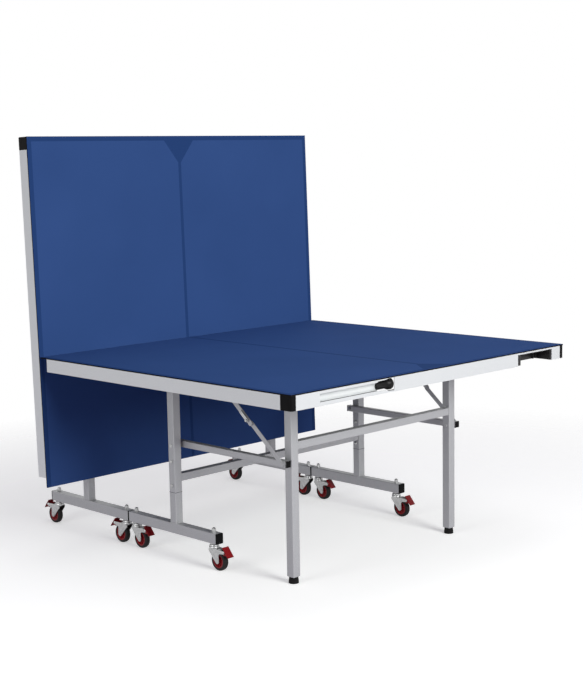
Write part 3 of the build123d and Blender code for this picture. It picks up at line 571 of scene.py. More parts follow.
def screw_row():
    """Pan heads in a row between two points, hanging head down."""
    tree, sizes = new_tree("screw_row", count=5, start=(0.0, 0.0, 0.0), end=(0.0, 1.0, 0.0),
                           radius=5.0, head=2.2)
    row = points_in_row(tree, sizes)
    crown = calc(tree, "MULTIPLY", sizes["radius"], SCREW_CROWN)
    inputs = {"Vertices": SCREW_SIDES, "Radius Bottom": crown, "Radius Top": sizes["radius"],
              "Depth": sizes["head"]}
    head = add(tree, "GeometryNodeMeshCone", inputs).outputs[0]
    drop = combined(tree, z=calc(tree, "MULTIPLY", sizes["head"], -1.0))
    inputs = {"Geometry": head, "Translation": drop}
    hanging = add(tree, "GeometryNodeTransform", inputs).outputs[0]
    return close_tree(tree, sizes, "GeometryNodeInstanceOnPoints", Points=row, Instance=hanging)


SPOKES = spoke_ring()
RIBS = rib_row()
SCREWS = screw_row()
print("node trees", [tree.name for tree in bpy.data.node_groups])

# %% Weld beads and threads
CORNER_STEPS = 6
BEAD_SIDES = 8
RIPPLE_TURN = pi / 2
THREAD_SIDES = 4
THREAD_STEPS = 20


def weld_bead():
    """Rippled bead round a square tube, drawn about Z."""
    tree, sizes = new_tree("weld_bead", side=35.0, corner=3.0, bead=2.0, steps=240, ripple=0.25)
    inputs = {"Width": sizes["side"], "Height": sizes["side"]}
    square = add(tree, "GeometryNodeCurvePrimitiveQuadrilateral", inputs).outputs[0]
    inputs = {"Curve": square, "Radius": sizes["corner"], "Count": CORNER_STEPS}
    path = add(tree, "GeometryNodeFilletCurve", inputs, mode="POLY").outputs[0]
    inputs = {"Curve": path, "Count": sizes["steps"]}
    path = add(tree, "GeometryNodeResampleCurve", inputs).outputs[0]
    index = add(tree, "GeometryNodeInputIndex").outputs[0]
    wave = calc(tree, "SINE", calc(tree, "MULTIPLY", index, RIPPLE_TURN))
    scale = calc(tree, "ADD", 1.0, calc(tree, "MULTIPLY", wave, sizes["ripple"]))
    inputs = {"Resolution": BEAD_SIDES, "Radius": sizes["bead"]}
    section = add(tree, "GeometryNodeCurvePrimitiveCircle", inputs).outputs[0]
    return close_tree(tree, sizes, "GeometryNodeCurveToMesh", Curve=path, Profile_Curve=section,
                      Scale=scale)


def screw_thread():
    """Ridge wound about Z."""
    tree, sizes = new_tree("screw_thread", radius=4.0, pitch=1.25, turns=30.0, ridge=0.5)
    height = calc(tree, "MULTIPLY", sizes["pitch"], sizes["turns"])
    inputs = {"Resolution": THREAD_STEPS, "Rotations": sizes["turns"],
              "Start Radius": sizes["radius"], "End Radius": sizes["radius"], "Height": height}
    path = add(tree, "GeometryNodeCurveSpiral", inputs).outputs[0]
    inputs = {"Resolution": THREAD_SIDES, "Radius": sizes["ridge"]}
    section = add(tree, "GeometryNodeCurvePrimitiveCircle", inputs).outputs[0]
    return close_tree(tree, sizes, "GeometryNodeCurveToMesh", Curve=path, Profile_Curve=section,
                      Fill_Caps=True)


BEAD = weld_bead()
THREAD = screw_thread()
print("node trees", len(bpy.data.node_groups))

# %% [markdown]
# ## Casters
# Each caster is a stamped zinc fork under a round bearing housing, a red hub with a black tyre,
# and a red brake pedal. A cheek's outline runs in arcs round the nose under the housing, the
# axle's eye and the ear at the end of the pedal's arm. The tyre and hub are turned, and the hub's
# spokes are a ring of blocks. One caster is drawn about its stem and copied to all eight places.

# %% Caster sizes from one caster's joints
CASTER = "near_left_outer"
stem = pivot(f"{CASTER}_swivel")
axle = (pivot(f"{CASTER}_spin") - stem) / MM
pedal_pin = (pivot(f"{CASTER}_brake") - stem) / MM
TRAIL = axle.x
WHEEL_RADIUS = pivot(f"{CASTER}_spin").z / MM
PIN = (pedal_pin.x, pivot(f"{CASTER}_brake").z / MM)
EYE_PLACE = (TRAIL, WHEEL_RADIUS)
wheel_seat = Matrix.Translation((TRAIL, 0, WHEEL_RADIUS)) @ lay_across
print("trail", round(TRAIL, 1), "wheel radius", round(WHEEL_RADIUS, 1),
      "pedal pin", [round(v, 1) for v in PIN])

# %% Fork with its bearing housing
CHEEK_INSIDE = 13.0
CHEEK_OUTSIDE = 15.5
CROWN_SPAN = (-13.0, 26.0)
CROWN_UNDER = 80.0
CROWN_TOP = 83.0
NOSE = (-7.0, 75.0)
WAIST = (44.4, 61.4)
# Centre, radius, steps, then start and sweep in degrees: nose, eye, waist, ear.
CHEEK_ARCS = ((NOSE, 8.0, 16, 90, 135), (EYE_PLACE, 10.0, 16, 225, 138),
              (WAIST, 6.0, 8, 180, -84), (PIN, 6.0, 16, -84, 174))
CHEEK_RIM = 0.7
STEM_HOLE = 5.1
HOUSING = ((STEM_HOLE, 0.0), (18.6, 0.0), (19.4, 0.8), (19.4, 4.6), (18.4, 5.8), (16.4, 6.4),
           (16.4, 7.2), (17.8, 7.8), (17.8, 10.2), (16.6, 12.4), (14.0, 14.0), (STEM_HOLE, 14.0))
WASHER_TOP = 1.0
WASHER = ((0.0, 0.0), (8.4, 0.0), (8.4, WASHER_TOP), (0.0, WASHER_TOP))
BOLT_CORNER = 7.0
BOLT_TOP = 4.2
BOLT_RIM = 0.5
PIN_DOME = ((0.0, 0.0), (4.2, 0.0), (4.2, 0.8), (3.2, 1.7), (1.4, 2.1), (0.0, 2.1))


def side_places(point):
    """Matrices that lay a turned piece on the fork's two outer faces."""
    right = Matrix.Translation((point[0], CHEEK_OUTSIDE, point[1])) @ lay_across.inverted()
    left = Matrix.Translation((point[0], -CHEEK_OUTSIDE, point[1])) @ lay_across
    return right, left


def cheek_outline():
    points = []
    for centre, radius, steps, start, sweep in CHEEK_ARCS:
        points += circle(centre, radius, steps, radians(start), radians(sweep))
    return points


def caster_fork():
    outline = cheek_outline()
    shapes = [plate(outline, CHEEK_INSIDE, CHEEK_OUTSIDE, CHEEK_RIM),
              plate(outline, -CHEEK_OUTSIDE, -CHEEK_INSIDE, CHEEK_RIM)]
    crown_wide = (-CHEEK_INSIDE, CHEEK_INSIDE)
    shapes.append(brick(CROWN_SPAN, crown_wide, (CROWN_UNDER, CROWN_TOP), CHEEK_RIM))
    shapes.append((lathe(HOUSING), Matrix.Translation((0, 0, CROWN_TOP))))
    hexagon = circle((0, 0), BOLT_CORNER, 6)
    for place in side_places(EYE_PLACE):
        shapes.append((lathe(WASHER, FINE_STEPS), place))
        shapes.append((plate(hexagon, -BOLT_TOP, -WASHER_TOP, BOLT_RIM), place @ lay_across))
    for place in side_places(PIN):
        shapes.append((lathe(PIN_DOME, SMALL_STEPS), place))
    return gathered("caster_fork", *shapes)


fork_shape = caster_fork()
print("fork faces", len(fork_shape.polygons))

# %% Tyre and hub
TYRE = ((27.0, -10.4), (31.5, -11.0), (34.6, -10.2), (36.4, -8.2), (37.3, -5.6), (37.5, -4.2),
        (36.8, -3.9), (36.8, -3.1), (37.5, -2.8), (37.5, 2.8), (36.8, 3.1), (36.8, 3.9),
        (37.5, 4.2), (37.3, 5.6), (36.4, 8.2), (34.6, 10.2), (31.5, 11.0), (27.0, 10.4))
HUB = ((4.1, -10.0), (8.4, -10.0), (9.2, -9.2), (9.6, -4.6), (21.8, -4.2), (22.8, -9.2),
       (23.6, -10.0), (26.95, -10.0), (26.95, 10.0), (23.6, 10.0), (22.8, 9.2), (21.8, 4.2),
       (9.6, 4.6), (9.2, 9.2), (8.4, 10.0), (4.1, 10.0))
BEARING = ((4.1, 10.0), (7.6, 10.0), (7.6, 10.8), (6.6, 11.8), (4.1, 11.8))
SPOKE_COUNT = 10
SPOKE_MIDDLE = 15.8
SPOKE_SIZE = (13.4, 2.0, 15.0)


def caster_hub():
    spokes = grow(SPOKES, count=SPOKE_COUNT, radius=SPOKE_MIDDLE, size=SPOKE_SIZE,
                  finish=finishes["hub_plastic"])
    return gathered("caster_hub", (lathe(HUB), wheel_seat), (spokes, wheel_seat))


def bearing_caps():
    other_side = wheel_seat @ Matrix.Rotation(pi, 4, "X")
    return gathered("bearing_caps", (lathe(BEARING, FINE_STEPS), wheel_seat),
                    (lathe(BEARING, FINE_STEPS), other_side))


tyre_shape = gathered("caster_tyre", (lathe(TYRE), wheel_seat))
hub_shape = caster_hub()
caps_shape = bearing_caps()
print("tyre", len(tyre_shape.polygons), "hub", len(hub_shape.polygons), "faces")

# %% Brake pedal
FLAP_HALF = 15.5
FLAP_TOP = Vector((61.0, 95.0))
FLAP_TIP = Vector((90.0, 60.0))
FLAP_THICKNESS = 3.0
FLAP_RIM = 0.8
WEB_HALF = 11.5
WEB_SPAN = (12.0, 36.0)
WEB_RIM = 0.7
SHOE = (60.5, 63.0)
PEDAL_EYE_RADIUS = 5.0
PEDAL_EYE_STEPS = 10
PEDAL_EYE_ARC = radians(95)
GRIP_RIBS = 6
RIB_SHARE = (0.16, 0.88)
RIB_INSET = 5.0
RIB_SIZE = (2.2, 2 * FLAP_HALF - RIB_INSET, 1.6)


def brake_pedal():
    along = (FLAP_TIP - FLAP_TOP).normalized()
    out = Vector((-along.y, along.x))
    back = FLAP_TOP - out * FLAP_THICKNESS
    flap_outline = [FLAP_TOP, FLAP_TIP, FLAP_TIP - out * FLAP_THICKNESS, back]
    flap = plate(flap_outline, -FLAP_HALF, FLAP_HALF, FLAP_RIM)
    eye = circle(PIN, PEDAL_EYE_RADIUS, PEDAL_EYE_STEPS, PEDAL_EYE_ARC, PEDAL_EYE_ARC)
    web_top, web_foot = [back + along * reach for reach in WEB_SPAN]
    web = plate([web_top, *eye, SHOE, web_foot], -WEB_HALF, WEB_HALF, WEB_RIM)
    start, end = [FLAP_TOP.lerp(FLAP_TIP, share) for share in RIB_SHARE]
    lean = Vector((1.0, 0.0)).angle_signed(along)
    ribs = grow(RIBS, count=GRIP_RIBS, start=(start.x, 0.0, start.y), end=(end.x, 0.0, end.y),
                size=RIB_SIZE, lean=lean, finish=finishes["red_plastic"])
    return gathered("brake_pedal", flap, web, ribs)


pedal_shape = brake_pedal()
print("pedal", len(pedal_shape.polygons), "faces")

# %% Eight casters
# Piece, shape, finish, body, slot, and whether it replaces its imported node.
CASTER_PIECES = (("stamped_fork", fork_shape, "zinc", "fork", "zinc", True),
                 ("tyre", tyre_shape, "caster_rubber", "wheel", "caster_rubber", True),
                 ("hub", hub_shape, "hub_plastic", "wheel", "red_plastic", False),
                 ("bearing_caps", caps_shape, "black_plastic", "wheel", "black_plastic", False),
                 ("brake_pedal", pedal_shape, "red_plastic", "pedal", "red_plastic", True))
casters = [f"{half}_{side}_{end}"
           for half in HALVES for side in ("left", "right") for end in ("inner", "outer")]
for caster in casters:
    ground = pivot(f"{caster}_swivel")
    facing = turn_round if caster.startswith("far") else Matrix.Identity(4)
    place = Matrix.Translation((ground.x, ground.y, 0)) @ facing
    for piece, shape, finish, part, slot, replaces in CASTER_PIECES:
        body = f"{caster}_{part}"
        make_piece(f"{caster}_{piece}", put(shape, place), finish, body,
                   [body] if replaces else [])
print("casters", len(casters))

# %% [markdown]
# ## Levelling feet
# A leg ends in a ribbed rubber foot on a threaded stud, which screws into the leg. The foot and
# the stud are turned, and the thread is a ridge wound round the stud. It shows when the foot is
# screwed out.

# %% Feet
FOOT = ((0.0, 0.0), (17.4, 0.0), (18.8, 1.0), (19.0, 4.0), (18.2, 5.0), (18.2, 6.0), (18.6, 6.8),
        (18.5, 9.6), (17.6, 10.6), (17.6, 11.6), (18.0, 12.4), (17.8, 15.2), (17.0, 16.2),
        (17.0, 17.2), (17.2, 18.0), (16.6, 24.0), (15.8, 25.0), (0.0, 25.0))
STUD_RADIUS = 3.5
STUD = ((0.0, 25.0), (STUD_RADIUS, 25.0), (STUD_RADIUS, 69.0), (2.8, 70.0), (0.0, 70.0))
THREAD_START = 26.0
THREAD_PITCH = 1.5
THREAD_TURNS = 28.0
THREAD_RIDGE = 0.45


def threaded_stud():
    thread = grow(THREAD, radius=STUD_RADIUS, pitch=THREAD_PITCH, turns=THREAD_TURNS,
                  ridge=THREAD_RIDGE, finish=finishes["zinc"])
    raised = Matrix.Translation((0, 0, THREAD_START))
    return gathered("threaded_stud", lathe(STUD, FINE_STEPS), (thread, raised))


rubber_shape = gathered("rubber_foot", lathe(FOOT))
stud_shape = threaded_stud()
for foot in (f"{half}_{side}_foot" for half in HALVES for side in ("left", "right")):
    low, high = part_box(foot)
    place = Matrix.Translation(((low.x + high.x) / 2, (low.y + high.y) / 2, low.z))
    make_piece(f"{foot}_rubber", put(rubber_shape, place), "black_rubber", foot,
               [foot])
    make_piece(f"{foot}_stud", put(stud_shape, place), "zinc", foot)
print("feet", len(rubber_shape.polygons), "faces, studs", len(stud_shape.polygons))

# %% [markdown]
# ## Aprons and mouldings
# Sheet metal and mouldings have no perfectly sharp edge, and the thin bright line along a rounded
# edge is what makes them look real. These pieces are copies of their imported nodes: the loose
# triangles are merged, flat faces dissolved, and a Bevel modifier rounds what is left. Weighted
# normals keep the flat faces flat.

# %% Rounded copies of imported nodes
MERGE = 1e-5
FLAT = radians(0.5)
BEVEL_ANGLE = radians(32)
BEVEL_SEGMENTS = 2
SOFT_EDGES = {"apron_frame": 0.0009, "corner_caps": 0.0014, "brace_latches": 0.0010,
              "rail_caps": 0.0008, "brace_upper": 0.0006, "brace_lower": 0.0006}


def softened(node, width):
    """The node's mesh with its edges rounded, as a plain mesh."""
    shape = bmesh.new()
    shape.from_mesh(nodes[node].data)
    bmesh.ops.remove_doubles(shape, verts=shape.verts, dist=MERGE)
    bmesh.ops.dissolve_limit(shape, angle_limit=FLAT, verts=shape.verts, edges=shape.edges)
    mesh = as_mesh(f"{node}_soft", shape)
    mesh.shade_smooth()
    carrier = new_object(f"{node}_soft", mesh)
    bevel = carrier.modifiers.new("rounded edges", "BEVEL")
    bevel.width = width
    bevel.segments = BEVEL_SEGMENTS
    bevel.limit_method = "ANGLE"
    bevel.angle_limit = BEVEL_ANGLE
    carrier.modifiers.new("flat faces", "WEIGHTED_NORMAL").keep_sharp = True
    return settled(carrier)


for half in HALVES:
    for part, width in SOFT_EDGES.items():
        node = f"{half}_{part}"
        slot = slot_of[node]
        make_piece(f"{node}_rounded", softened(node, width), slot, body_of[node], [node])
print("rounded", list(SOFT_EDGES))

# %% [markdown]
# A link bar is a square tube with a black plug pushed into each end. The plug's collar is a hair
# larger than the tube, so it is a block with rounded rims over the tube's end. It is drawn on the
# link's own pivot, along the link, and the folded half's links are turned up with their top.

# %% Link bars with black plugs
LINK_EDGE = 0.0006
PLUG_COLLAR = 3.0
PLUG_PROUD = 0.2
PLUG_RIM = 1.2
link_low, link_high = corners("near_link_bars", pivot("near_link_swing"))
link_place = {"near": Matrix.Translation(pivot("near_link_swing")),
              "far": Matrix.Translation(pivot("far_link_swing")) @ turn_round @ fold_up}
link_size = link_high.z - link_low.z


def link_plugs():
    """Collars over the ends of both bars."""
    collars = []
    z = (link_low.z - PLUG_PROUD, link_high.z + PLUG_PROUD)
    ends = ((link_low.x - PLUG_PROUD, link_low.x + PLUG_COLLAR),
            (link_high.x - PLUG_COLLAR, link_high.x + PLUG_PROUD))
    for y in ((link_low.y, link_low.y + link_size), (link_high.y - link_size, link_high.y)):
        wide = (y[0] - PLUG_PROUD, y[1] + PLUG_PROUD)
        collars += [brick(end, wide, z, PLUG_RIM) for end in ends]
    return gathered("link_plugs", *collars)


plug_shape = link_plugs()
for half in HALVES:
    node = f"{half}_link_bars"
    make_piece(f"{half}_link_tubes", softened(node, LINK_EDGE), "silver_tube", body_of[node],
               [node])
    make_piece(f"{half}_link_plugs", put(plug_shape, link_place[half]), "black_plastic",
               body_of[node])
print("link bars", round(link_high.x - link_low.x), "mm long,",
      "plugs", len(plug_shape.polygons), "faces")

# %% [markdown]
# ## Ball trough
# Behind a slot in the end apron lies a half-round trough for balls, closed at one end. A thin black
# strip along the slot's lower edge is painted shade: the shadow line under the recess's lower lip.
# A black mouth with a flared rim is plugged into the other end.
# The trough is a half ring pushed along the apron, and the mouth is turned. Strips of sheet bring
# the apron's window close to the mouth's neck, and widen it towards the flare so that all of the
# flare shows.

# %% Trough sizes
APRON_WALL = 2.0
TROUGH_RADIUS = 14.0
TROUGH_WALL = 2.0
TROUGH_LENGTH = 278.0
TROUGH_RIM = 0.3
ARC_STEPS = 24
FLARE_RADIUS = 21.0
WINDOW_REACH = 22.0
SHADE_STRIP_TALL = 1.6
SHADE_STRIP_BACK = 0.3
MOUTH_START = 8.0
MOUTH_COLLAR = ((15.6, MOUTH_START), (16.0, 8.6), (16.0, 11.4), (15.6, 12.0), (15.2, 12.2))
MOUTH_OUTSIDE = ((15.0, 13.0), (15.0, 57.0), (15.4, 61.5), (16.6, 66.0), (18.6, 70.5),
                 (20.2, 74.5), (20.9, 77.5), (21.0, 80.0), (21.0, 87.0), (20.6, 89.4))
MOUTH_INSIDE = ((19.6, 90.6), (18.6, 91.0), (17.6, 90.6), (16.0, 87.0), (12.6, 80.0),
                (9.6, 70.0), (8.4, 58.0), (8.0, 40.0))
MOUTH = ((0.0, MOUTH_START), *MOUTH_COLLAR, *MOUTH_OUTSIDE, *MOUTH_INSIDE, (0.0, 38.0))
UPPER_EDGE = ((MOUTH_START, 18.5), (44.0, 19.0), (54.0, 20.5), (60.0, 22.0))
LOWER_EDGE = ((MOUTH_START, 15.8), (40.0, 16.2), (50.0, 17.6), (58.0, 20.2), (63.0, 22.0))
player_end = (BOARD_LENGTH - NET_REACH) / MM
trough_low, trough_high = corners("near_ball_trough", near_axis)
trough_height = (trough_low.z + trough_high.z) / 2
trough_start = trough_low.y + TROUGH_WALL
trough_end = trough_start + TROUGH_LENGTH
trough_axis = (player_end - APRON_WALL, trough_height)
print("trough", round(trough_start), "to", round(trough_end), "mm across,",
      "mouth", round(trough_high.y - trough_end), "mm long")

# %% Trough, mouth, strips and painted shade strip
def ball_trough():
    """Half ring that opens towards the player, and its end wall."""
    outer = circle(trough_axis, TROUGH_RADIUS + TROUGH_WALL, ARC_STEPS, pi / 2, pi)
    inner = circle(trough_axis, TROUGH_RADIUS, ARC_STEPS, 3 * pi / 2, -pi)
    wall = plate([*outer, *inner], trough_start, trough_end + MOUTH_START, TROUGH_RIM)
    end_wall = plate(outer, trough_low.y, trough_start, TROUGH_RIM)
    return gathered("ball_trough", wall, end_wall)


def trough_mouth():
    place = Matrix.Translation((player_end - FLARE_RADIUS, trough_end, trough_height))
    return gathered("trough_mouth", (lathe(MOUTH), place @ lay_across.inverted()))


def window_strips():
    """Sheet round the neck: the apron's window widens to bare the whole flare."""
    strips = []
    facing = Matrix.Rotation(pi / 2, 4, "Z")
    for side, edge in ((-1, LOWER_EDGE), (1, UPPER_EDGE)):
        start = ((0.0, WINDOW_REACH), (0.0, TROUGH_RADIUS))
        outline = [(trough_end + along, trough_height + side * reach)
                   for along, reach in (*start, *edge)]
        strips.append((plate(outline, -player_end, APRON_WALL - player_end), facing))
    return gathered("window_strips", *strips)


def trough_shade_strip():
    """Thin black strip along the window's lower edge: painted shade under the recess's lower lip."""
    foot = trough_height - TROUGH_RADIUS
    wall = (player_end - APRON_WALL, player_end - SHADE_STRIP_BACK)
    strip = brick(wall, (trough_start, trough_end), (foot, foot + SHADE_STRIP_TALL), TROUGH_RIM)
    return gathered("trough_shade_strip", strip)


# Piece, shape, finish, slot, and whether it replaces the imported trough.
TROUGH_PIECES = (("trough_lining", ball_trough(), "apron_paint", "apron_paint", True),
                 ("trough_mouth", trough_mouth(), "mouth_plastic", "black_plastic", False),
                 ("window_strips", window_strips(), "apron_paint", "apron_paint", False),
                 # The last row is painted shade: a black strip where the recess's lower lip casts a shadow line.
                 ("trough_shade_strip", trough_shade_strip(), "black_rubber", "black_rubber", False))
for half in HALVES:
    node = f"{half}_ball_trough"
    for piece, shape, finish, slot, replaces in TROUGH_PIECES:
        make_piece(f"{half}_{piece}", put(shape, top_place[half]), finish, body_of[node],
                   [node] if replaces else [])
print("trough pieces", [row[0] for row in TROUGH_PIECES])

# %% [markdown]
# ## Bat pocket
# Near the other corner a black moulded liner makes a pocket for bats in the end apron: two jambs,
# a roof, and a back panel with two slim dividers. It is open below, so a bat's handle hangs out.
# Blocks with rounded rims make it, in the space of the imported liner.

# %% Pocket liner
LINER_WALL = 3.0
LINER_RIM = 0.9
LEFT_JAMB = 20.0
RIGHT_JAMB = 10.0
PANEL_LIP = 2.0
DIVIDERS = (184.0, 202.0)
DIVIDER_DEPTH = 10.0
DIVIDER_WIDTH = 4.0
pocket_low, pocket_high = corners("near_bat_pocket", near_axis)


def pocket_liner():
    (back, left, foot), (front, right, roof) = pocket_low, pocket_high
    panel = (foot + PANEL_LIP, roof)
    spaces = [((back, front), (left, left + LEFT_JAMB), (foot, roof)),
              ((back, front), (right - RIGHT_JAMB, right), (foot, roof)),
              ((back, front), (left, right), (roof - LINER_WALL, roof)),
              ((back, back + LINER_WALL), (left, right), panel)]
    for reach in DIVIDERS:
        wide = (left + reach, left + reach + DIVIDER_WIDTH)
        spaces.append(((back, back + DIVIDER_DEPTH), wide, panel))
    return gathered("pocket_liner", *[brick(*space, LINER_RIM) for space in spaces])


on_both_halves("pocket_liner", pocket_liner(), top_place, "liner_plastic", "top",
               stands_for="bat_pocket")
print("pocket liner", [round(high - low) for low, high in zip(pocket_low, pocket_high)], "mm")

# %% [markdown]
# ## Welds, seams, nuts and screws
# The tubes are welded where they meet: a rippled bead runs round each joint. The upper posts sit
# on their stubs at a seam, held by two bolts whose nuts show on the inner face. The shade in each
# seam is painted: a thin black ring round the post. Screws along the stretchers hold the board.
# Beads and screws are grown by their node trees, the painted seam shade is slim blocks, and the
# nuts are turned. Each is made once and copied to both halves.

# %% Weld beads
POST_SIZE = 35.0
BAR_SIZE = 30.0
LEG_BAR_DROP = 228.0
CROSS_BAR_HEIGHT = 315.0
WELD_CORNER = 4.0
POST_BEAD = 1.6
BAR_BEAD = 1.5
post_low, post_high = corners("near_posts", near_axis)
bar_end = corners("near_cross_bar", near_axis)[1].y
leg_low, leg_high = corners("near_leg_frame", pivot("near_leg_swing"))
foot_low, foot_high = corners("near_right_foot", pivot("near_leg_swing"))
rail_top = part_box("near_rail_caps")[1].z / MM
post_x = (post_low.x + post_high.x) / 2
post_y = post_high.y - POST_SIZE / 2
leg_x = (leg_low.x + leg_high.x) / 2
leg_inside = (foot_low.y + foot_high.y) / 2 - POST_SIZE / 2


def welds(name, spots):
    """Beads of (place, turn, side of the tube, bead radius), as one mesh."""
    beads = []
    for place, turn, side, radius in spots:
        bead = grow(BEAD, side=side, corner=WELD_CORNER, bead=radius,
                    finish=finishes["silver_tube"])
        beads.append((bead, Matrix.Translation(place) @ turn))
    return gathered(name, *beads)


trolley_spots = []
leg_spots = []
for side in SIDES:
    upright = Matrix.Identity(4)
    trolley_spots.append(((post_x, side * post_y, rail_top), upright, POST_SIZE, POST_BEAD))
    bar_place = (post_x, side * bar_end, CROSS_BAR_HEIGHT)
    trolley_spots.append((bar_place, lay_across, BAR_SIZE, BAR_BEAD))
    leg_spots.append(((leg_x, side * leg_inside, -LEG_BAR_DROP), lay_across, BAR_SIZE, BAR_BEAD))
trolley_welds = welds("trolley_welds", trolley_spots)
leg_welds = welds("leg_welds", leg_spots)
for half in HALVES:
    make_piece(f"{half}_trolley_welds", put(trolley_welds, trolley_place[half]), "silver_tube",
               f"{half}_trolley")
    make_piece(f"{half}_leg_welds", put(leg_welds, leg_place[half]), "silver_tube",
               f"{half}_legs")
print("welds", len(trolley_spots), "on a trolley,", len(leg_spots), "on a leg frame")

# %% Painted shade in the post seams
SHADE_RING_TALL = 1.4
SHADE_RING_PROUD = 0.2
SHADE_RING_RIM = 0.15
seam_height = post_low.z + near_axis.z / MM


def around(middle, reach):
    return middle - reach, middle + reach


# Painted shade: a thin black ring round each post stands for the shadow in its seam.
def post_seam_shade():
    reach = POST_SIZE / 2 + SHADE_RING_PROUD
    rings = [brick(around(post_x, reach), around(side * post_y, reach),
                   around(seam_height, SHADE_RING_TALL / 2), SHADE_RING_RIM) for side in SIDES]
    return gathered("post_seam_shade", *rings)


on_both_halves("post_seam_shade", post_seam_shade(), trolley_place, "black_rubber", "trolley")
print("post seams at", round(seam_height), "mm")

# %% Sleeve nuts
SLEEVE_BOLT_HEIGHTS = (286.0, 379.0)
SLEEVE_NUT = ((0.0, -1.0), (6.5, -1.0), (6.5, 3.2), (5.6, 4.2),
              (3.2, 4.6), (3.2, 7.0), (2.4, 7.6), (0.0, 7.6))


def sleeve_nuts():
    """Nuts of the two sleeve bolts, on the inner face of each post."""
    nuts = []
    for side in SIDES:
        face = side * (post_y - POST_SIZE / 2)
        inward = Matrix.Rotation(side * pi / 2, 4, "X")
        for height in SLEEVE_BOLT_HEIGHTS:
            seat = Matrix.Translation((post_x, face, height)) @ inward
            nuts.append((lathe(SLEEVE_NUT, SMALL_STEPS), seat))
    return gathered("sleeve_nuts", *nuts)


on_both_halves("sleeve_nuts", sleeve_nuts(), trolley_place, "zinc", "trolley")
print("sleeve nuts", len(SIDES) * len(SLEEVE_BOLT_HEIGHTS), "on each trolley")

# %% Board screws
STRETCHER_XS = (-430.0, 0.0, 238.0, 550.0)
STRETCHER_UNDER = 13.0
SCREW_SPAN = 680.0
SCREWS_IN_ROW = 5


def board_screws():
    """Screws from below through the four stretchers into the board."""
    rows = [grow(SCREWS, count=SCREWS_IN_ROW, start=(x, -SCREW_SPAN, STRETCHER_UNDER),
                 end=(x, SCREW_SPAN, STRETCHER_UNDER), finish=finishes["zinc"])
            for x in STRETCHER_XS]
    return gathered("board_screws", *rows)


on_both_halves("board_screws", board_screws(), top_place, "zinc", "top")
print("board screws", SCREWS_IN_ROW * len(STRETCHER_XS), "under each board")

# %% [markdown]
# ## Studio
# A pale floor that melts into a white background, soft light from the front right, the side and
# above, and the camera where the photographer stood. The floor turns transparent away from the
# table, so no horizon shows. It has one colour for the eye and a dimmer, violet one for the light
# that it throws back. The world is white to the eye and to reflections but dimmer as a light.

# %% Floor and world
FLOOR_RADIUS = 9.0
FLOOR_STEPS = 96
FLOOR_ROUGH = 0.9
FADE_START = 1.2
FADE_END = 3.0
FLOOR_LIFT = 0.44
FLOOR_SEEN = (0.825, 0.842, 0.808)
FLOOR_BOUNCE = (0.47, 0.37, 0.55)
AMBIENT = 0.175
AMBIENT_TINT = (1.0, 0.91, 1.18)
WHITE = (1.0, 1.0, 1.0)


def seen_directly(tree):
    """1 for rays that the eye follows: camera, reflection and refraction."""
    path = add(tree, "ShaderNodeLightPath").outputs
    eye = calc(tree, "MAXIMUM", path["Is Camera Ray"], path["Is Glossy Ray"])
    return calc(tree, "MAXIMUM", eye, path["Is Transmission Ray"])


def studio_floor():
    shape = bmesh.new()
    bmesh.ops.create_circle(shape, cap_ends=True, segments=FLOOR_STEPS, radius=FLOOR_RADIUS)
    floor = new_object("studio_floor", as_mesh("studio_floor", shape))
    material, tree, shader, place = new_finish("pale_floor")
    eye = seen_directly(tree)
    feed(tree, shader.inputs["Base Color"], mix_colours(tree, eye, FLOOR_BOUNCE, FLOOR_SEEN))
    shader.inputs["Roughness"].default_value = FLOOR_ROUGH
    shader.inputs["Specular IOR Level"].default_value = 0.0
    shader.inputs["Emission Color"].default_value = (*WHITE, 1.0)
    feed(tree, shader.inputs["Emission Strength"], calc(tree, "MULTIPLY", eye, FLOOR_LIFT))
    length = add(tree, "ShaderNodeVectorMath", {0: place}, operation="LENGTH")
    fade = span(tree, length.outputs["Value"], 1.0, 0.0, FADE_START, FADE_END)
    feed(tree, shader.inputs["Alpha"], fade)
    floor.data.materials.append(material)


def studio_world():
    world = bpy.data.worlds.new("studio_world")
    world.use_nodes = True
    tree = world.node_tree
    background = tree.nodes["Background"]
    eye = seen_directly(tree)
    feed(tree, background.inputs["Color"], mix_colours(tree, eye, AMBIENT_TINT, WHITE))
    feed(tree, background.inputs["Strength"], span(tree, eye, AMBIENT, 1.0, 0.0, 1.0))
    scene.world = world


studio_floor()
studio_world()
scene.view_settings.view_transform = "Standard"
print("floor and world ready")

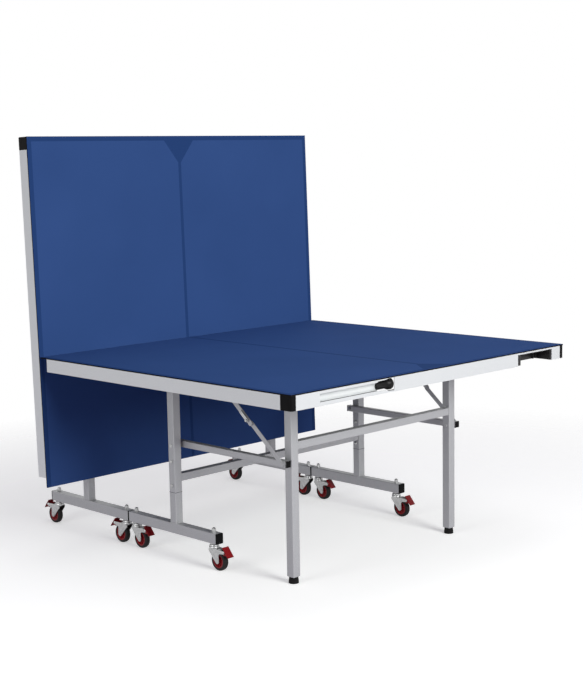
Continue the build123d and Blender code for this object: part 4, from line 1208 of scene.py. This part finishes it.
# %% Lamps
def softbox(name, place, aim, size, power):
    lamp = bpy.data.lights.new(name, "AREA")
    lamp.shape = "DISK"
    lamp.size = size
    lamp.energy = power
    holder = new_object(name, lamp)
    facing = (Vector(aim) - Vector(place)).to_track_quat("-Z", "Y")
    holder.matrix_world = Matrix.Translation(place) @ facing.to_matrix().to_4x4()


softbox("front_right_softbox", place=(5.6, -0.4, 2.55), aim=(-0.2, 0.0, 0.8), size=2.6,
        power=292.0)
softbox("side_softbox", place=(0.2, -4.8, 1.4), aim=(0.0, 0.0, 0.6), size=2.2, power=58.0)
softbox("overhead_softbox", place=(-0.4, 0.6, 4.6), aim=(0.0, 0.0, 0.7), size=3.6, power=34.0)
print("lamps", len(bpy.data.lights))

# %% Camera
IMAGE_WIDTH = 583
IMAGE_HEIGHT = 700
FOCAL_PIXELS = 1379.8
CENTRE_PIXEL = (270.0, 352.0)
EYE = Vector((3.9201, -3.8298, 1.5061))
EYE_YAW = radians(135.782)
EYE_PITCH = radians(-7.965)
EYE_ROLL = radians(-1.137)
SENSOR = 36.0

ahead = Vector((cos(EYE_PITCH) * cos(EYE_YAW), cos(EYE_PITCH) * sin(EYE_YAW), sin(EYE_PITCH)))
level_right = ahead.cross(Vector((0, 0, 1))).normalized()
level_up = level_right.cross(ahead)
eye_right = level_right * cos(EYE_ROLL) + level_up * sin(EYE_ROLL)
eye_up = level_up * cos(EYE_ROLL) - level_right * sin(EYE_ROLL)
camera_data = bpy.data.cameras.new("photo_camera")
camera_data.sensor_width = SENSOR
camera_data.sensor_fit = "AUTO"
camera_data.lens = FOCAL_PIXELS * SENSOR / IMAGE_HEIGHT
camera_data.shift_x = (IMAGE_WIDTH / 2 - CENTRE_PIXEL[0]) / IMAGE_HEIGHT
camera_data.shift_y = (CENTRE_PIXEL[1] - IMAGE_HEIGHT / 2) / IMAGE_HEIGHT
camera = new_object("photo_camera", camera_data)
turn = Matrix((eye_right, eye_up, -ahead)).transposed().to_4x4()
camera.matrix_world = Matrix.Translation(EYE) @ turn
scene.camera = camera
print("camera lens", round(camera_data.lens, 2), "mm")
